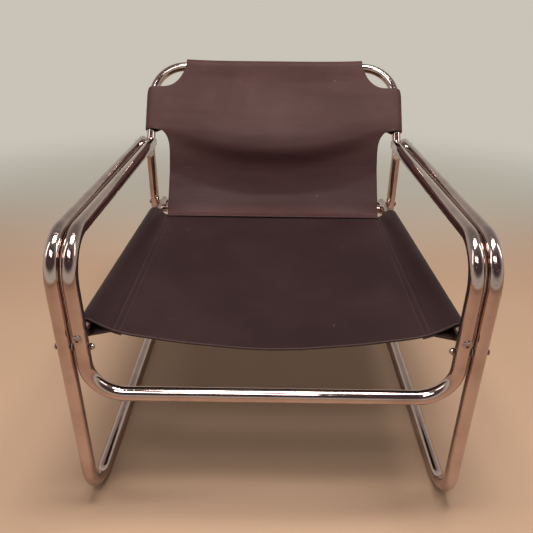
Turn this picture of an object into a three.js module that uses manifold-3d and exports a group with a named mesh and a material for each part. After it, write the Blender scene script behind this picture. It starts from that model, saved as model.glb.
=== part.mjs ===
// Cantilever lounge chair: bent chromed tubes, with a leather seat and back slung between them.
// Millimetres, +Z up. The chair faces -Y, and its left side, as seen from the front, is -X.

import * as THREE from 'three';
import { mergeVertices } from 'three/addons/utils/BufferGeometryUtils.js';
import Module from 'manifold-3d';

const wasm = await Module();
wasm.setup();

// Driving dimensions: tubes
const mainTubeDiameter = 25;
const mainTubeWall = 2;
const lightTubeDiameter = 22;
const lightTubeWall = 1.5;
const outerTubeSpacing = 670;
const pairGap = 2.5;
const touchGap = 0.3;

// Driving dimensions: base and arms, with setbacks measured from the front legs' centre line
const glideThickness = 2;
const armHeight = 542.5;
const armRearHeight = 524;
const armBendRadius = 70;
const floorBendRadius = 70;
const runnerLength = 650;
const rearBarBendRadius = 70;
const frontBarDrop = 117.5;
const frontBarBendRadius = 62;
const outerArmOverhang = 14;

// Driving dimensions: back frame, with its knee measured from the arms and its rise and run from the knee
const postSetback = 643;
const postFootDrop = 22;
const kneeDrop = 16;
const kneeBendRadius = 60;
const backRise = 182;
const backRun = 136;
const backCornerRadius = 82;

// Driving dimensions: seat frame
const railFrontHeight = 383;
const railRearHeight = 369;
const railEndOverhang = 9;
const seatBarClearance = 7.7;

// Driving dimensions: seat leather
const leather = 3;
const seatFrontSetback = 45;
const seatRearSetback = 556;
const seatFrontDrop = 70;
const seatRearDrop = 19.5;
const seatFrontSeamInset = 50;
const seatRearSeamInset = 25;
const seatSeamLap = 8;
const seatFrontSlack = 0.8;
const seatRearSlack = 4;
const seatSlackAngle = 50;

// Driving dimensions: back leather
const backSlack = 1.4;
const backTopHalfWidth = 226;
const backLowerHalfWidth = 263;
const backSleeveTurn = 14;
const backSleeveRise = 41;
const backPanelLeather = 2.4;
const backCutDepth = 50;
const backSag = 29;
const backLap = 13;

// Driving dimensions: screws, nuts and fittings
const smallScrew = { diameter: 6, headDiameter: 11, headHeight: 3.4, socket: 4, socketDepth: 2 };
const largeScrew = { diameter: 8, headDiameter: 14, headHeight: 4.6, socket: 5, socketDepth: 2.6 };
const smallNut = { width: 10, hexHeight: 5, height: 9.5, bore: 7.5 };
const holeClearance = 0.3;
const plugFit = 0.3;
const plugDome = 4;
const plugClear = 2;
const saddleShank = 26;
const saddleStandoff = 4;
const armSaddleWrap = 7;
const threadReach = 20;
const legBoltDrop = 21;
const spacerDiameter = 15;
const insertDiameter = 9;
const insertLength = 9;
const washerDiameter = 14;
const washerThickness = 2;
const glideWidth = 15;
const glideLength = 30;
const glideHeight = 5;
const glidePegDiameter = 6;
const glidePegLength = 9;
const glideInset = 105;

// Facets: counts only
const tubeSides = 18;
const boreSides = 8;
const bendSteps = 6;
const kneeSteps = 4;
const roundSides = 12;
const holeSides = 8;
const hexSides = 6;
const domeSteps = 3;
const sleeveSteps = 9;
const seatStations = 9;
const backColumns = 8;
const backLowerRows = 7;
const backUpperRows = 4;

// Seat leather's drop below its sleeves, across from the middle: share of the half span, then
// share of the drop at the front edge and at the rear edge
const seatDropShares = [
  [0, 1, 1],
  [0.3, 0.93, 1],
  [0.53, 0.81, 1],
  [0.75, 0.65, 1],
  [0.915, 0.41, 0.98],
];
const seatBlendPower = 1.6;

// Back leather's sag behind its edges: share of the height, then share of the sag
const backSagShares = [
  [0, 0], [0.05, 0.5], [0.11, 0.93], [0.2, 1], [0.32, 0.76], [0.42, 0.45],
  [0.53, 0.53], [0.7, 0.6], [0.86, 0.42], [1, 0],
];

// Back leather's cut-outs: share of the step in width, then share of the cut-out's height
const upperCutShares = [[1, 0], [0.62, 0.02], [0.4, 0.14], [0.2, 0.4], [0.07, 0.72], [0, 1]];
const lowerCutShares = [[0, 1], [0.03, 0.68], [0.12, 0.38], [0.26, 0.18], [0.46, 0.03], [1, 0]];

// Worked out from the driving dimensions
const mainRadius = mainTubeDiameter / 2;
const lightRadius = lightTubeDiameter / 2;
const mainBore = mainRadius - mainTubeWall;
const lightBore = lightRadius - lightTubeWall;
const shankRadius = (bore) => bore * Math.cos(Math.PI / boreSides) - plugFit;
const outerX = outerTubeSpacing / 2;
const innerX = outerX - mainTubeDiameter - pairGap;
const postX = outerX - mainRadius - lightRadius - touchGap;
const railRearX = postX - lightTubeDiameter - touchGap;
const runnerHeight = glideThickness + mainRadius;
const frontBarHeight = railFrontHeight - frontBarDrop;
const legBoltHeight = railFrontHeight - legBoltDrop;
const postFootHeight = railRearHeight - postFootDrop;
const kneeHeight = armRearHeight - kneeDrop;
const backTopHeight = kneeHeight + backRise;
const backTopSetback = postSetback + backRun;
const backSleeveFoot = kneeHeight + backSleeveRise;
const backLean = Math.atan2(backRun, backRise);
const kneeStart = kneeHeight - kneeBendRadius * Math.tan(backLean / 2);
const kneeEnd = kneeStart + kneeBendRadius * Math.sin(backLean);
const sleeveTurn = THREE.MathUtils.degToRad(backSleeveTurn);
const backSleeveTop = backTopHeight - backCornerRadius * (1 - Math.sin(sleeveTurn)) * Math.cos(backLean);

const pieces = new THREE.Group();
const sides = [{ name: 'left', sign: -1 }, { name: 'right', sign: 1 }];
const at = (x, y, z) => new THREE.Vector3(x, y, z);
const mix = (a, b, share) => a + (b - a) * share;
const axisX = at(1, 0, 0);
const axisY = at(0, 1, 0);
const axisZ = at(0, 0, 1);

// Finishes
const chrome = () => new THREE.MeshStandardMaterial({ color: 0xd9d6d2, roughness: 0.08, metalness: 1 });
const zinc = () => new THREE.MeshStandardMaterial({ color: 0xbfbdb8, roughness: 0.25, metalness: 1 });
const hide = () => new THREE.MeshStandardMaterial({ color: 0x4a3838, roughness: 0.55, metalness: 0 });
const plastic = () => new THREE.MeshStandardMaterial({ color: 0x2a2a2a, roughness: 0.6, metalness: 0 });

// Solids for cuts and joins

function signedVolume(positions, triangles) {
  const corner = (i) => new THREE.Vector3().fromArray(positions, triangles[i] * 3);
  let sum = 0;
  for (let i = 0; i < triangles.length; i += 3) {
    sum += corner(i).dot(corner(i + 1).cross(corner(i + 2)));
  }
  return sum;
}

// Corners closer than the merging distance are one corner, and faces that it flattens are left out.
function toSolid(geometry) {
  const mergingDistance = touchGap / 1000;
  const bare = geometry.clone();
  bare.deleteAttribute('normal');
  bare.deleteAttribute('uv');
  const merged = mergeVertices(bare, mergingDistance);
  const positions = merged.attributes.position.array;
  const triangles = [];
  for (let i = 0; i < merged.index.count; i += 3) {
    const [a, b, c] = merged.index.array.slice(i, i + 3);
    if (a !== b && b !== c && c !== a) {
      triangles.push(a, b, c);
    }
  }
  if (signedVolume(positions, triangles) < 0) {
    triangles.reverse();
  }
  return new wasm.Manifold(new wasm.Mesh({
    numProp: 3,
    vertProperties: new Float32Array(positions),
    triVerts: new Uint32Array(triangles),
  }));
}

function toGeometry(solid) {
  const mesh = solid.getMesh();
  const geometry = new THREE.BufferGeometry();
  geometry.setAttribute('position', new THREE.BufferAttribute(new Float32Array(mesh.vertProperties), 3));
  geometry.setIndex(Array.from(mesh.triVerts));
  geometry.computeVertexNormals();
  return geometry;
}

function addPiece(name, solid, material) {
  const mesh = new THREE.Mesh(toGeometry(solid), material);
  mesh.name = name;
  pieces.add(mesh);
}

function cutAway(solid, cuts) {
  return cuts.reduce((rest, cut) => rest.subtract(cut), solid);
}

function largestPart(solid) {
  const parts = solid.decompose();
  return parts.reduce((best, part) => (part.volume() > best.volume() ? part : best));
}

// A bent path has one station at each end of a straight, and a few along each bend.
class BentPath extends THREE.Curve {
  constructor(corners, radii = [], steps = []) {
    super();
    const last = corners.length - 1;
    const heading = (i) => corners[i + 1].clone().sub(corners[i]).normalize();
    this.stations = [{ point: corners[0].clone(), tangent: heading(0) }];
    for (let i = 1; i < last; i += 1) {
      this.addBend(corners[i], heading(i - 1), heading(i), radii[i - 1], steps[i - 1]);
    }
    this.stations.push({ point: corners[last].clone(), tangent: heading(last - 1) });
  }

  addBend(corner, inward, outward, radius, steps) {
    const turn = inward.angleTo(outward);
    const side = outward.clone().addScaledVector(inward, -Math.cos(turn)).normalize();
    const begin = corner.clone().addScaledVector(inward, -radius * Math.tan(turn / 2));
    for (let k = 0; k <= steps; k += 1) {
      const angle = turn * k / steps;
      const point = begin.clone()
        .addScaledVector(inward, radius * Math.sin(angle))
        .addScaledVector(side, radius * (1 - Math.cos(angle)));
      const tangent = inward.clone().multiplyScalar(Math.cos(angle)).addScaledVector(side, Math.sin(angle));
      this.stations.push({ point, tangent });
    }
  }

  get steps() {
    return this.stations.length - 1;
  }

  getPointAt(share, target = new THREE.Vector3()) {
    return target.copy(this.stations[Math.round(share * this.steps)].point);
  }

  getTangentAt(share, target = new THREE.Vector3()) {
    return target.copy(this.stations[Math.round(share * this.steps)].tangent);
  }
}

function circlePoints(radius, count) {
  return Array.from({ length: count }, (_, i) => {
    const angle = 2 * Math.PI * i / count;
    return new THREE.Vector2(radius * Math.cos(angle), radius * Math.sin(angle));
  });
}

function sweep(path, radius, bore = 0) {
  const section = new THREE.Shape(circlePoints(radius, tubeSides));
  if (bore > 0) {
    section.holes.push(new THREE.Path(circlePoints(bore, boreSides)));
  }
  return toSolid(new THREE.ExtrudeGeometry(section, { steps: path.steps, extrudePath: path }));
}

// A turned solid's profile has a radius first, and then a place along the axis from its origin.
function turned(profile, origin, axis, count = roundSides) {
  const points = profile.map(([radius, along]) => new THREE.Vector2(radius, along));
  const geometry = new THREE.LatheGeometry(points, count);
  geometry.applyQuaternion(new THREE.Quaternion().setFromUnitVectors(axisY, axis));
  geometry.translate(origin.x, origin.y, origin.z);
  return toSolid(geometry);
}

function rod(origin, axis, start, end, radius, count = roundSides) {
  return turned([[0, start], [radius, start], [radius, end], [0, end]], origin, axis, count);
}

// A round of few sides is drawn round the circle that has to pass through it.
const roundAbout = (radius, count) => radius / Math.cos(Math.PI / count);

function hole(origin, axis, start, end, diameter) {
  return rod(origin, axis, start, end, roundAbout(diameter / 2 + holeClearance, holeSides), holeSides);
}

// Centre lines of the bent tubes

const backAxisY = (z) => {
  if (z <= kneeStart) {
    return postSetback;
  }
  if (z < kneeEnd) {
    return postSetback + kneeBendRadius - Math.sqrt(kneeBendRadius ** 2 - (z - kneeStart) ** 2);
  }
  return postSetback + (z - kneeHeight) * Math.tan(backLean);
};
const armCrossY = backAxisY(armRearHeight);
const armHeightAt = (y) => mix(armHeight, armRearHeight, y / armCrossY);
const armAxis = at(0, armCrossY, armRearHeight - armHeight).normalize();
const outerArmEnd = armCrossY + outerArmOverhang;

// Where an arm meets the leaning tube, the tube's face is further off, and slopes away across the arm.
const kneeTurn = Math.asin(Math.min(1, Math.max(0, (armRearHeight - kneeStart) / kneeBendRadius)));
const crossTilt = Math.min(backLean, kneeTurn);
const faceReach = (radius) => lightRadius / Math.cos(crossTilt) + radius * Math.tan(crossTilt);
const innerArmEnd = armCrossY - faceReach(mainRadius) - touchGap;

function mirroredPath(half, radii, steps) {
  const corners = [...half(-1), ...half(1).reverse()];
  return new BentPath(corners, [...radii, ...radii.toReversed()], [...steps, ...steps.toReversed()]);
}

const basePath = mirroredPath((sign) => [
  at(sign * outerX, outerArmEnd, armHeightAt(outerArmEnd)),
  at(sign * outerX, 0, armHeight),
  at(sign * outerX, 0, runnerHeight),
  at(sign * outerX, runnerLength, runnerHeight),
], [armBendRadius, floorBendRadius, rearBarBendRadius], [bendSteps, bendSteps, bendSteps]);

const frontPath = mirroredPath((sign) => [
  at(sign * innerX, innerArmEnd, armHeightAt(innerArmEnd)),
  at(sign * innerX, 0, armHeight),
  at(sign * innerX, 0, frontBarHeight),
], [armBendRadius, frontBarBendRadius], [bendSteps, bendSteps]);

const backPath = mirroredPath((sign) => [
  at(sign * postX, postSetback, postFootHeight),
  at(sign * postX, postSetback, kneeHeight),
  at(sign * postX, backTopSetback, backTopHeight),
], [kneeBendRadius, backCornerRadius], [kneeSteps, bendSteps]);

const railX = (y) => mix(innerX, railRearX, y / postSetback);
const railHeight = (y) => mix(railFrontHeight, railRearHeight, y / postSetback);
const railPoint = (sign, y) => at(sign * railX(y), y, railHeight(y));
const railAxis = (sign) => railPoint(sign, postSetback).sub(railPoint(sign, 0)).normalize();
const railFront = mainRadius + saddleStandoff;
const railEnd = postSetback + railEndOverhang;

// Places of the screws
const inwards = (sign) => at(-sign, 0, 0);
const legBoltPoint = (sign) => at(sign * outerX, 0, legBoltHeight);
const armBoltPoint = (sign) => at(sign * outerX, armCrossY, armRearHeight);
const armScrewPoint = (sign) => at(sign * innerX, armCrossY, armRearHeight);
const postBoltPoint = (sign) => at(sign * postX, postSetback, railRearHeight);
const barScrewPoint = (sign) => railPoint(sign, seatBarSetback());
const glidePlaces = [
  { name: 'front', y: glideInset },
  { name: 'rear', y: runnerLength - glideInset },
];

// Tubes, each drilled for what passes through it

function baseTube() {
  const cuts = sides.flatMap(({ sign }) => [
    hole(legBoltPoint(sign), axisX, -mainTubeDiameter, mainTubeDiameter, smallScrew.diameter),
    hole(armBoltPoint(sign), axisX, -mainTubeDiameter, mainTubeDiameter, smallScrew.diameter),
    ...glidePlaces.map(({ y }) => hole(at(sign * outerX, y, 0), axisZ, 0, runnerHeight, glidePegDiameter)),
  ]);
  addPiece('base_tube', cutAway(sweep(basePath, mainRadius, mainBore), cuts), chrome());
}

function frontFrameTube() {
  const cuts = sides.flatMap(({ sign }) => [
    hole(at(sign * innerX, 0, legBoltHeight), axisX, -mainTubeDiameter, mainTubeDiameter,
      smallScrew.diameter),
    hole(railPoint(sign, 0), railAxis(sign), -mainTubeDiameter, mainTubeDiameter, largeScrew.diameter),
  ]);
  addPiece('front_frame_tube', cutAway(sweep(frontPath, mainRadius, mainBore), cuts), chrome());
}

function backTube() {
  const cuts = sides.flatMap(({ sign }) => [
    hole(at(sign * postX, armCrossY, armRearHeight), at(sign, 0, 0), 0, lightTubeDiameter, insertDiameter),
    hole(armScrewPoint(sign), armAxis, -lightTubeDiameter, lightTubeDiameter, smallScrew.diameter),
    hole(postBoltPoint(sign), axisX, -lightTubeDiameter, lightTubeDiameter, smallScrew.diameter),
  ]);
  addPiece('back_tube', cutAway(sweep(backPath, lightRadius, lightBore), cuts), chrome());
}

function seatRails() {
  for (const { name, sign } of sides) {
    const path = new BentPath([railPoint(sign, railFront), railPoint(sign, railEnd)]);
    const cuts = [postSetback, seatBarSetback()].map((y) => hole(railPoint(sign, y), axisX,
      -lightTubeDiameter, lightTubeDiameter, smallScrew.diameter));
    addPiece(`seat_rail_${name}`, cutAway(sweep(path, lightRadius, lightBore), cuts), chrome());
  }
}

function seatCrossbar() {
  const ends = sides.map(({ sign }) => barScrewPoint(sign));
  const copes = sides.map(({ sign }) => rod(railPoint(sign, 0), railAxis(sign), 0, railEnd,
    lightRadius + touchGap, tubeSides));
  addPiece('seat_crossbar', cutAway(sweep(new BentPath(ends), lightRadius, lightBore), copes), chrome());
}

// End fittings

// A domed plug: a shank pressed into the tube, and a low dome that covers its rim
function domedPlug(place, axis, radius, bore, shank) {
  const dome = Array.from({ length: domeSteps }, (_, k) => {
    const angle = Math.PI / 2 * k / domeSteps;
    return [radius * Math.cos(angle), touchGap + plugDome * Math.sin(angle)];
  });
  return turned([
    [0, -shank],
    [shankRadius(bore), -shank],
    [shankRadius(bore), touchGap],
    ...dome,
    [0, touchGap + plugDome],
  ], place, axis);
}

// A saddle: a threaded shank pressed into the tube, and a head coped to the tube that it butts against
function saddle(end, axis, radius, bore, headLength, screw, cope) {
  const body = turned([
    [0, -saddleShank],
    [shankRadius(bore), -saddleShank],
    [shankRadius(bore), touchGap],
    [radius, touchGap],
    [radius, headLength],
    [0, headLength],
  ], end, axis, tubeSides);
  const thread = hole(end, axis, -threadReach - holeClearance, headLength * 2, screw.diameter);
  return largestPart(cutAway(body, [cope, thread]));
}

function endFittings() {
  const frontCope = sweep(frontPath, mainRadius + touchGap);
  const backCope = sweep(backPath, lightRadius + touchGap);
  const shankTo = (room) => room - smallScrew.diameter / 2 - plugClear;
  for (const { name, sign } of sides) {
    const rail = railAxis(sign);
    const outerEnd = at(sign * outerX, outerArmEnd, armHeightAt(outerArmEnd));
    const innerEnd = at(sign * innerX, innerArmEnd, armHeightAt(innerArmEnd));
    const foot = at(sign * postX, postSetback, postFootHeight);
    addPiece(`outer_arm_plug_${name}`,
      domedPlug(outerEnd, armAxis, mainRadius, mainBore, shankTo(outerArmOverhang)), chrome());
    addPiece(`rail_plug_${name}`,
      domedPlug(railPoint(sign, railEnd), rail, lightRadius, lightBore, shankTo(railEndOverhang)), chrome());
    addPiece(`post_plug_${name}`,
      domedPlug(foot, axisZ.clone().negate(), lightRadius, lightBore,
        shankTo(railRearHeight - postFootHeight)), chrome());
    addPiece(`rail_saddle_${name}`,
      saddle(railPoint(sign, railFront), rail.clone().negate(), lightRadius, lightBore,
        railFront, largeScrew, frontCope), zinc());
    addPiece(`arm_saddle_${name}`,
      saddle(innerEnd, armAxis, mainRadius, mainBore, armCrossY - innerArmEnd - armSaddleWrap,
        smallScrew, backCope), zinc());
  }
}

// Screws and nuts

// The seat is the centre of the head's underside, and the shank runs along the axis from it.
function screwSolid(screw, seat, axis, length) {
  const radius = screw.diameter / 2;
  const headRadius = screw.headDiameter / 2;
  const crown = Array.from({ length: domeSteps }, (_, k) => {
    const angle = Math.PI / 2 * (k + 1) / (domeSteps + 1);
    return [headRadius * Math.cos(angle), -screw.headHeight * Math.sin(angle)];
  });
  const body = turned([
    [0, -screw.headHeight],
    ...crown.reverse(),
    [headRadius, 0],
    [radius, 0],
    [radius, length],
    [0, length],
  ], seat, axis);
  const socket = rod(seat, axis, -screw.headHeight * 2, screw.socketDepth - screw.headHeight,
    roundAbout(screw.socket / 2, hexSides), hexSides);
  return body.subtract(socket);
}

function nutSolid(seat, axis) {
  const halfWidth = smallNut.width / 2;
  const hex = rod(seat, axis, 0, smallNut.hexHeight, roundAbout(halfWidth, hexSides), hexSides);
  const arc = Array.from({ length: domeSteps }, (_, k) => {
    const angle = Math.PI / 2 * k / domeSteps;
    return [halfWidth * Math.cos(angle), mix(smallNut.hexHeight, smallNut.height, Math.sin(angle))];
  });
  const dome = turned([[0, 0], [halfWidth, 0], ...arc, [0, smallNut.height]], seat, axis);
  const bore = hole(seat, axis, -holeClearance, smallNut.bore, smallScrew.diameter);
  return hex.add(dome).subtract(bore);
}

function boltWithNut(boltName, nutName, seat, nutSeat, axis) {
  const length = seat.distanceTo(nutSeat) + smallNut.hexHeight;
  addPiece(boltName, screwSolid(smallScrew, seat, axis, length), zinc());
  addPiece(nutName, nutSolid(nutSeat, axis), zinc());
}

// Each pair of front legs is bolted side by side, with a spacer between.
function legBolts() {
  for (const { name, sign } of sides) {
    const axis = inwards(sign);
    const place = legBoltPoint(sign);
    const face = mainRadius + touchGap;
    const seat = place.clone().addScaledVector(axis, -face);
    const nutSeat = at(sign * innerX, 0, legBoltHeight).addScaledVector(axis, face);
    boltWithNut(`leg_bolt_${name}`, `leg_nut_${name}`, seat, nutSeat, axis);
    const spacer = rod(place, axis, face, mainRadius + pairGap - touchGap, spacerDiameter / 2);
    const bore = hole(place, axis, 0, mainTubeDiameter, smallScrew.diameter);
    addPiece(`leg_spacer_${name}`, spacer.subtract(bore), plastic());
  }
}

// Each rail's foot end is pulled against its inner leg by a screw from the front.
function railScrews() {
  for (const { name, sign } of sides) {
    const axis = railAxis(sign);
    const seat = railPoint(sign, 0).addScaledVector(axis, -mainRadius - touchGap);
    const length = seat.distanceTo(railPoint(sign, railFront)) + threadReach - touchGap;
    addPiece(`rail_screw_${name}`, screwSolid(largeScrew, seat, axis, length), zinc());
  }
}

// Each outer arm is bolted from outboard into a threaded insert in its post.
function armBolts() {
  const postFace = outerX - postX - lightRadius;
  const insertEnd = postFace + lightTubeWall + insertLength;
  for (const { name, sign } of sides) {
    const axis = inwards(sign);
    const place = armBoltPoint(sign);
    const insert = rod(place, axis, postFace, insertEnd, insertDiameter / 2);
    const bore = hole(place, axis, 0, insertEnd * 2, smallScrew.diameter);
    addPiece(`post_insert_${name}`, insert.subtract(bore), zinc());
    const seat = place.clone().addScaledVector(axis, -mainRadius - touchGap);
    const length = mainRadius + touchGap + insertEnd - touchGap;
    addPiece(`arm_bolt_${name}`, screwSolid(smallScrew, seat, axis, length), zinc());
  }
}

// Each inner arm is held by a screw that comes through the post from behind, on a shaped washer.
function armScrews() {
  const backCope = sweep(backPath, lightRadius + touchGap);
  const forwards = armAxis.clone().negate();
  const washerEnd = faceReach(washerDiameter / 2) + washerThickness;
  for (const { name, sign } of sides) {
    const place = armScrewPoint(sign);
    const washer = rod(place, armAxis, 0, washerEnd, washerDiameter / 2);
    const bore = hole(place, armAxis, 0, washerEnd * 2, smallScrew.diameter);
    addPiece(`arm_washer_${name}`, largestPart(cutAway(washer, [backCope, bore])), zinc());
    const seat = place.clone().addScaledVector(armAxis, washerEnd + touchGap);
    const length = washerEnd + armCrossY - innerArmEnd + threadReach - touchGap;
    addPiece(`arm_screw_${name}`, screwSolid(smallScrew, seat, forwards, length), zinc());
  }
}

// Each rail's rear end is bolted side by side to its post.
function postBolts() {
  for (const { name, sign } of sides) {
    const axis = inwards(sign);
    const face = lightRadius + touchGap;
    const seat = postBoltPoint(sign).addScaledVector(axis, -face);
    const nutSeat = postBoltPoint(sign).addScaledVector(axis, postX - railRearX + face);
    boltWithNut(`post_bolt_${name}`, `post_nut_${name}`, seat, nutSeat, axis);
  }
}

// The crossbar's ends hold threaded plugs, and each takes a screw through its rail.
function crossbarScrews() {
  const plugStart = lightRadius + lightTubeWall;
  for (const { name, sign } of sides) {
    const axis = inwards(sign);
    const place = barScrewPoint(sign);
    const plug = rod(place, axis, plugStart, plugStart + saddleShank, shankRadius(lightBore));
    const bore = hole(place, axis, 0, plugStart + threadReach + holeClearance, smallScrew.diameter);
    addPiece(`crossbar_plug_${name}`, plug.subtract(bore), zinc());
    const seat = place.clone().addScaledVector(axis, -lightRadius - touchGap);
    const length = lightRadius + plugStart + threadReach;
    addPiece(`crossbar_screw_${name}`, screwSolid(smallScrew, seat, axis, length), zinc());
  }
}

// Glides: a pad under the runner, hollowed to fit it, with a peg pressed into it
function glides() {
  const endRadius = glideWidth / 2;
  const halfStraight = glideLength / 2 - endRadius;
  const outline = new THREE.Shape();
  outline.absarc(0, halfStraight, endRadius, 0, Math.PI);
  outline.absarc(0, -halfStraight, endRadius, Math.PI, 2 * Math.PI);
  outline.closePath();
  for (const { name, sign } of sides) {
    const runner = rod(at(sign * outerX, 0, runnerHeight), axisY, 0, runnerLength,
      mainRadius + touchGap, tubeSides);
    for (const place of glidePlaces) {
      const pad = new THREE.ExtrudeGeometry(outline, {
        depth: glideHeight, bevelEnabled: false, curveSegments: hexSides,
      });
      pad.translate(sign * outerX, place.y, 0);
      const foot = at(sign * outerX, place.y, 0);
      const peg = rod(foot, axisZ, glideThickness / 2, glidePegLength, glidePegDiameter / 2, holeSides);
      addPiece(`glide_${place.name}_${name}`, toSolid(pad).subtract(runner).add(peg), plastic());
    }
  }
}

// Seat leather: one sheet over both rails, its edges turned round them and sewn back under it

// The sleeves are looser towards the rear, and their slack hangs down and outboard of the rail.
const seatSleeve = (y) => {
  const share = (y - seatFrontSetback) / (seatRearSetback - seatFrontSetback);
  const slack = mix(seatFrontSlack, seatRearSlack, share);
  const angle = THREE.MathUtils.degToRad(seatSlackAngle);
  return {
    share,
    x: railX(y) + (slack - seatFrontSlack) * Math.cos(angle),
    z: railHeight(y) - (slack - seatFrontSlack) * Math.sin(angle),
    bore: lightRadius + slack,
  };
};

// Height of the sheet's upper face for one row of the drop table
function seatSurface(sleeve, [, frontShare, rearShare]) {
  const blend = sleeve.share ** seatBlendPower;
  const drop = mix(seatFrontDrop * frontShare, seatRearDrop * rearShare, blend);
  return sleeve.z + sleeve.bore + leather - drop;
}

// Angle at which a straight from an inboard point touches a circle, over it or under it
function touchAngle(centre, radius, point, over) {
  const heading = Math.atan2(point.y - centre.y, point.x - centre.x) + 2 * Math.PI;
  const spread = Math.acos(radius / point.distanceTo(centre));
  return over ? heading - spread : heading + spread - 2 * Math.PI;
}

function arcPoints(centre, radius, from, to) {
  return Array.from({ length: sleeveSteps + 1 }, (_, k) => {
    const angle = mix(from, to, k / sleeveSteps);
    return new THREE.Vector2(centre.x + radius * Math.cos(angle), centre.y + radius * Math.sin(angle));
  });
}

// The right half of the section at one setback: its outer outline from the middle of the upper face
// to the middle of the lower face, and the outline of its sleeve
function seatSection(y) {
  const sleeve = seatSleeve(y);
  const centre = new THREE.Vector2(sleeve.x, sleeve.z);
  const upper = seatDropShares.map((row) => new THREE.Vector2(row[0] * sleeve.x, seatSurface(sleeve, row)));
  const beneath = upper.map((point) => new THREE.Vector2(point.x, point.y - leather));
  const [edge, edgeBeneath] = [upper.at(-1), beneath.at(-1)];
  const slope = (edge.y - upper.at(-2).y) / (edge.x - upper.at(-2).x);
  const under = (x) => edgeBeneath.y - (edgeBeneath.x - x) * slope;
  const seamX = sleeve.x - mix(seatFrontSeamInset, seatRearSeamInset, sleeve.share);
  const flapX = seamX - seatSeamLap;
  const tip = new THREE.Vector2(seamX, under(seamX) - touchGap);
  const flap = [new THREE.Vector2(seamX, under(seamX) - leather),
    new THREE.Vector2(flapX, under(flapX) - leather), new THREE.Vector2(flapX, under(flapX))];
  const outer = sleeve.bore + leather;
  const shelter = edgeBeneath.clone().add(new THREE.Vector2(touchGap, 0));
  return {
    outline: [
      ...upper,
      ...arcPoints(centre, outer, touchAngle(centre, outer, edge, true),
        touchAngle(centre, outer, flap[0], false)),
      ...flap,
      ...beneath.slice(0, -1).reverse(),
    ],
    tunnel: [
      shelter,
      ...arcPoints(centre, sleeve.bore, touchAngle(centre, sleeve.bore, shelter, true),
        touchAngle(centre, sleeve.bore, tip, false)),
      tip,
    ],
  };
}

function mirrored(points) {
  return points.map((point) => new THREE.Vector2(-point.x, point.y)).reverse();
}

// Joins sections with the same counts of points into one closed solid. A section's outline runs
// anticlockwise, and the tunnels after it clockwise.
function loft(sections, setbacks) {
  const positions = [];
  const index = [];
  const rings = sections[0].length;
  const starts = sections.map((section, s) => section.map((ring) => {
    const start = positions.length / 3;
    ring.forEach((point) => positions.push(point.x, setbacks[s], point.y));
    return start;
  }));
  for (let s = 1; s < sections.length; s += 1) {
    for (let r = 0; r < rings; r += 1) {
      const count = sections[s][r].length;
      for (let k = 0; k < count; k += 1) {
        const next = (k + 1) % count;
        const [a, b] = [starts[s - 1][r] + k, starts[s - 1][r] + next];
        const [c, d] = [starts[s][r] + k, starts[s][r] + next];
        index.push(a, b, c, b, d, c);
      }
    }
  }
  for (const s of [0, sections.length - 1]) {
    const [outline, ...holes] = sections[s];
    const corners = sections[s].flatMap((ring, r) => ring.map((_, k) => starts[s][r] + k));
    for (const [a, b, c] of THREE.ShapeUtils.triangulateShape(outline, holes)) {
      const face = [corners[a], corners[b], corners[c]];
      index.push(...(s === 0 ? face.reverse() : face));
    }
  }
  const geometry = new THREE.BufferGeometry();
  geometry.setAttribute('position', new THREE.BufferAttribute(new Float32Array(positions), 3));
  geometry.setIndex(index);
  return toSolid(geometry);
}

function seatLeather() {
  const setbacks = Array.from({ length: seatStations }, (_, k) => mix(seatFrontSetback, seatRearSetback,
    k / (seatStations - 1)));
  const sections = setbacks.map((y) => {
    const { outline, tunnel } = seatSection(y);
    return [[...outline, ...mirrored(outline.slice(1, -1))].reverse(), tunnel, mirrored(tunnel)];
  });
  addPiece('seat_leather', loft(sections, setbacks), hide());
}

// Back leather: one panel in front of the back tube, with a sleeve round its top bar and one round
// each leaning post, and its foot lapped over the seat leather's rear edge

function shareAt(table, share) {
  const after = Math.max(1, table.findIndex(([place]) => place >= share));
  const [low, high] = [table[after - 1], table[after]];
  return mix(low[1], high[1], (share - low[0]) / (high[0] - low[0]));
}

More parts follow.
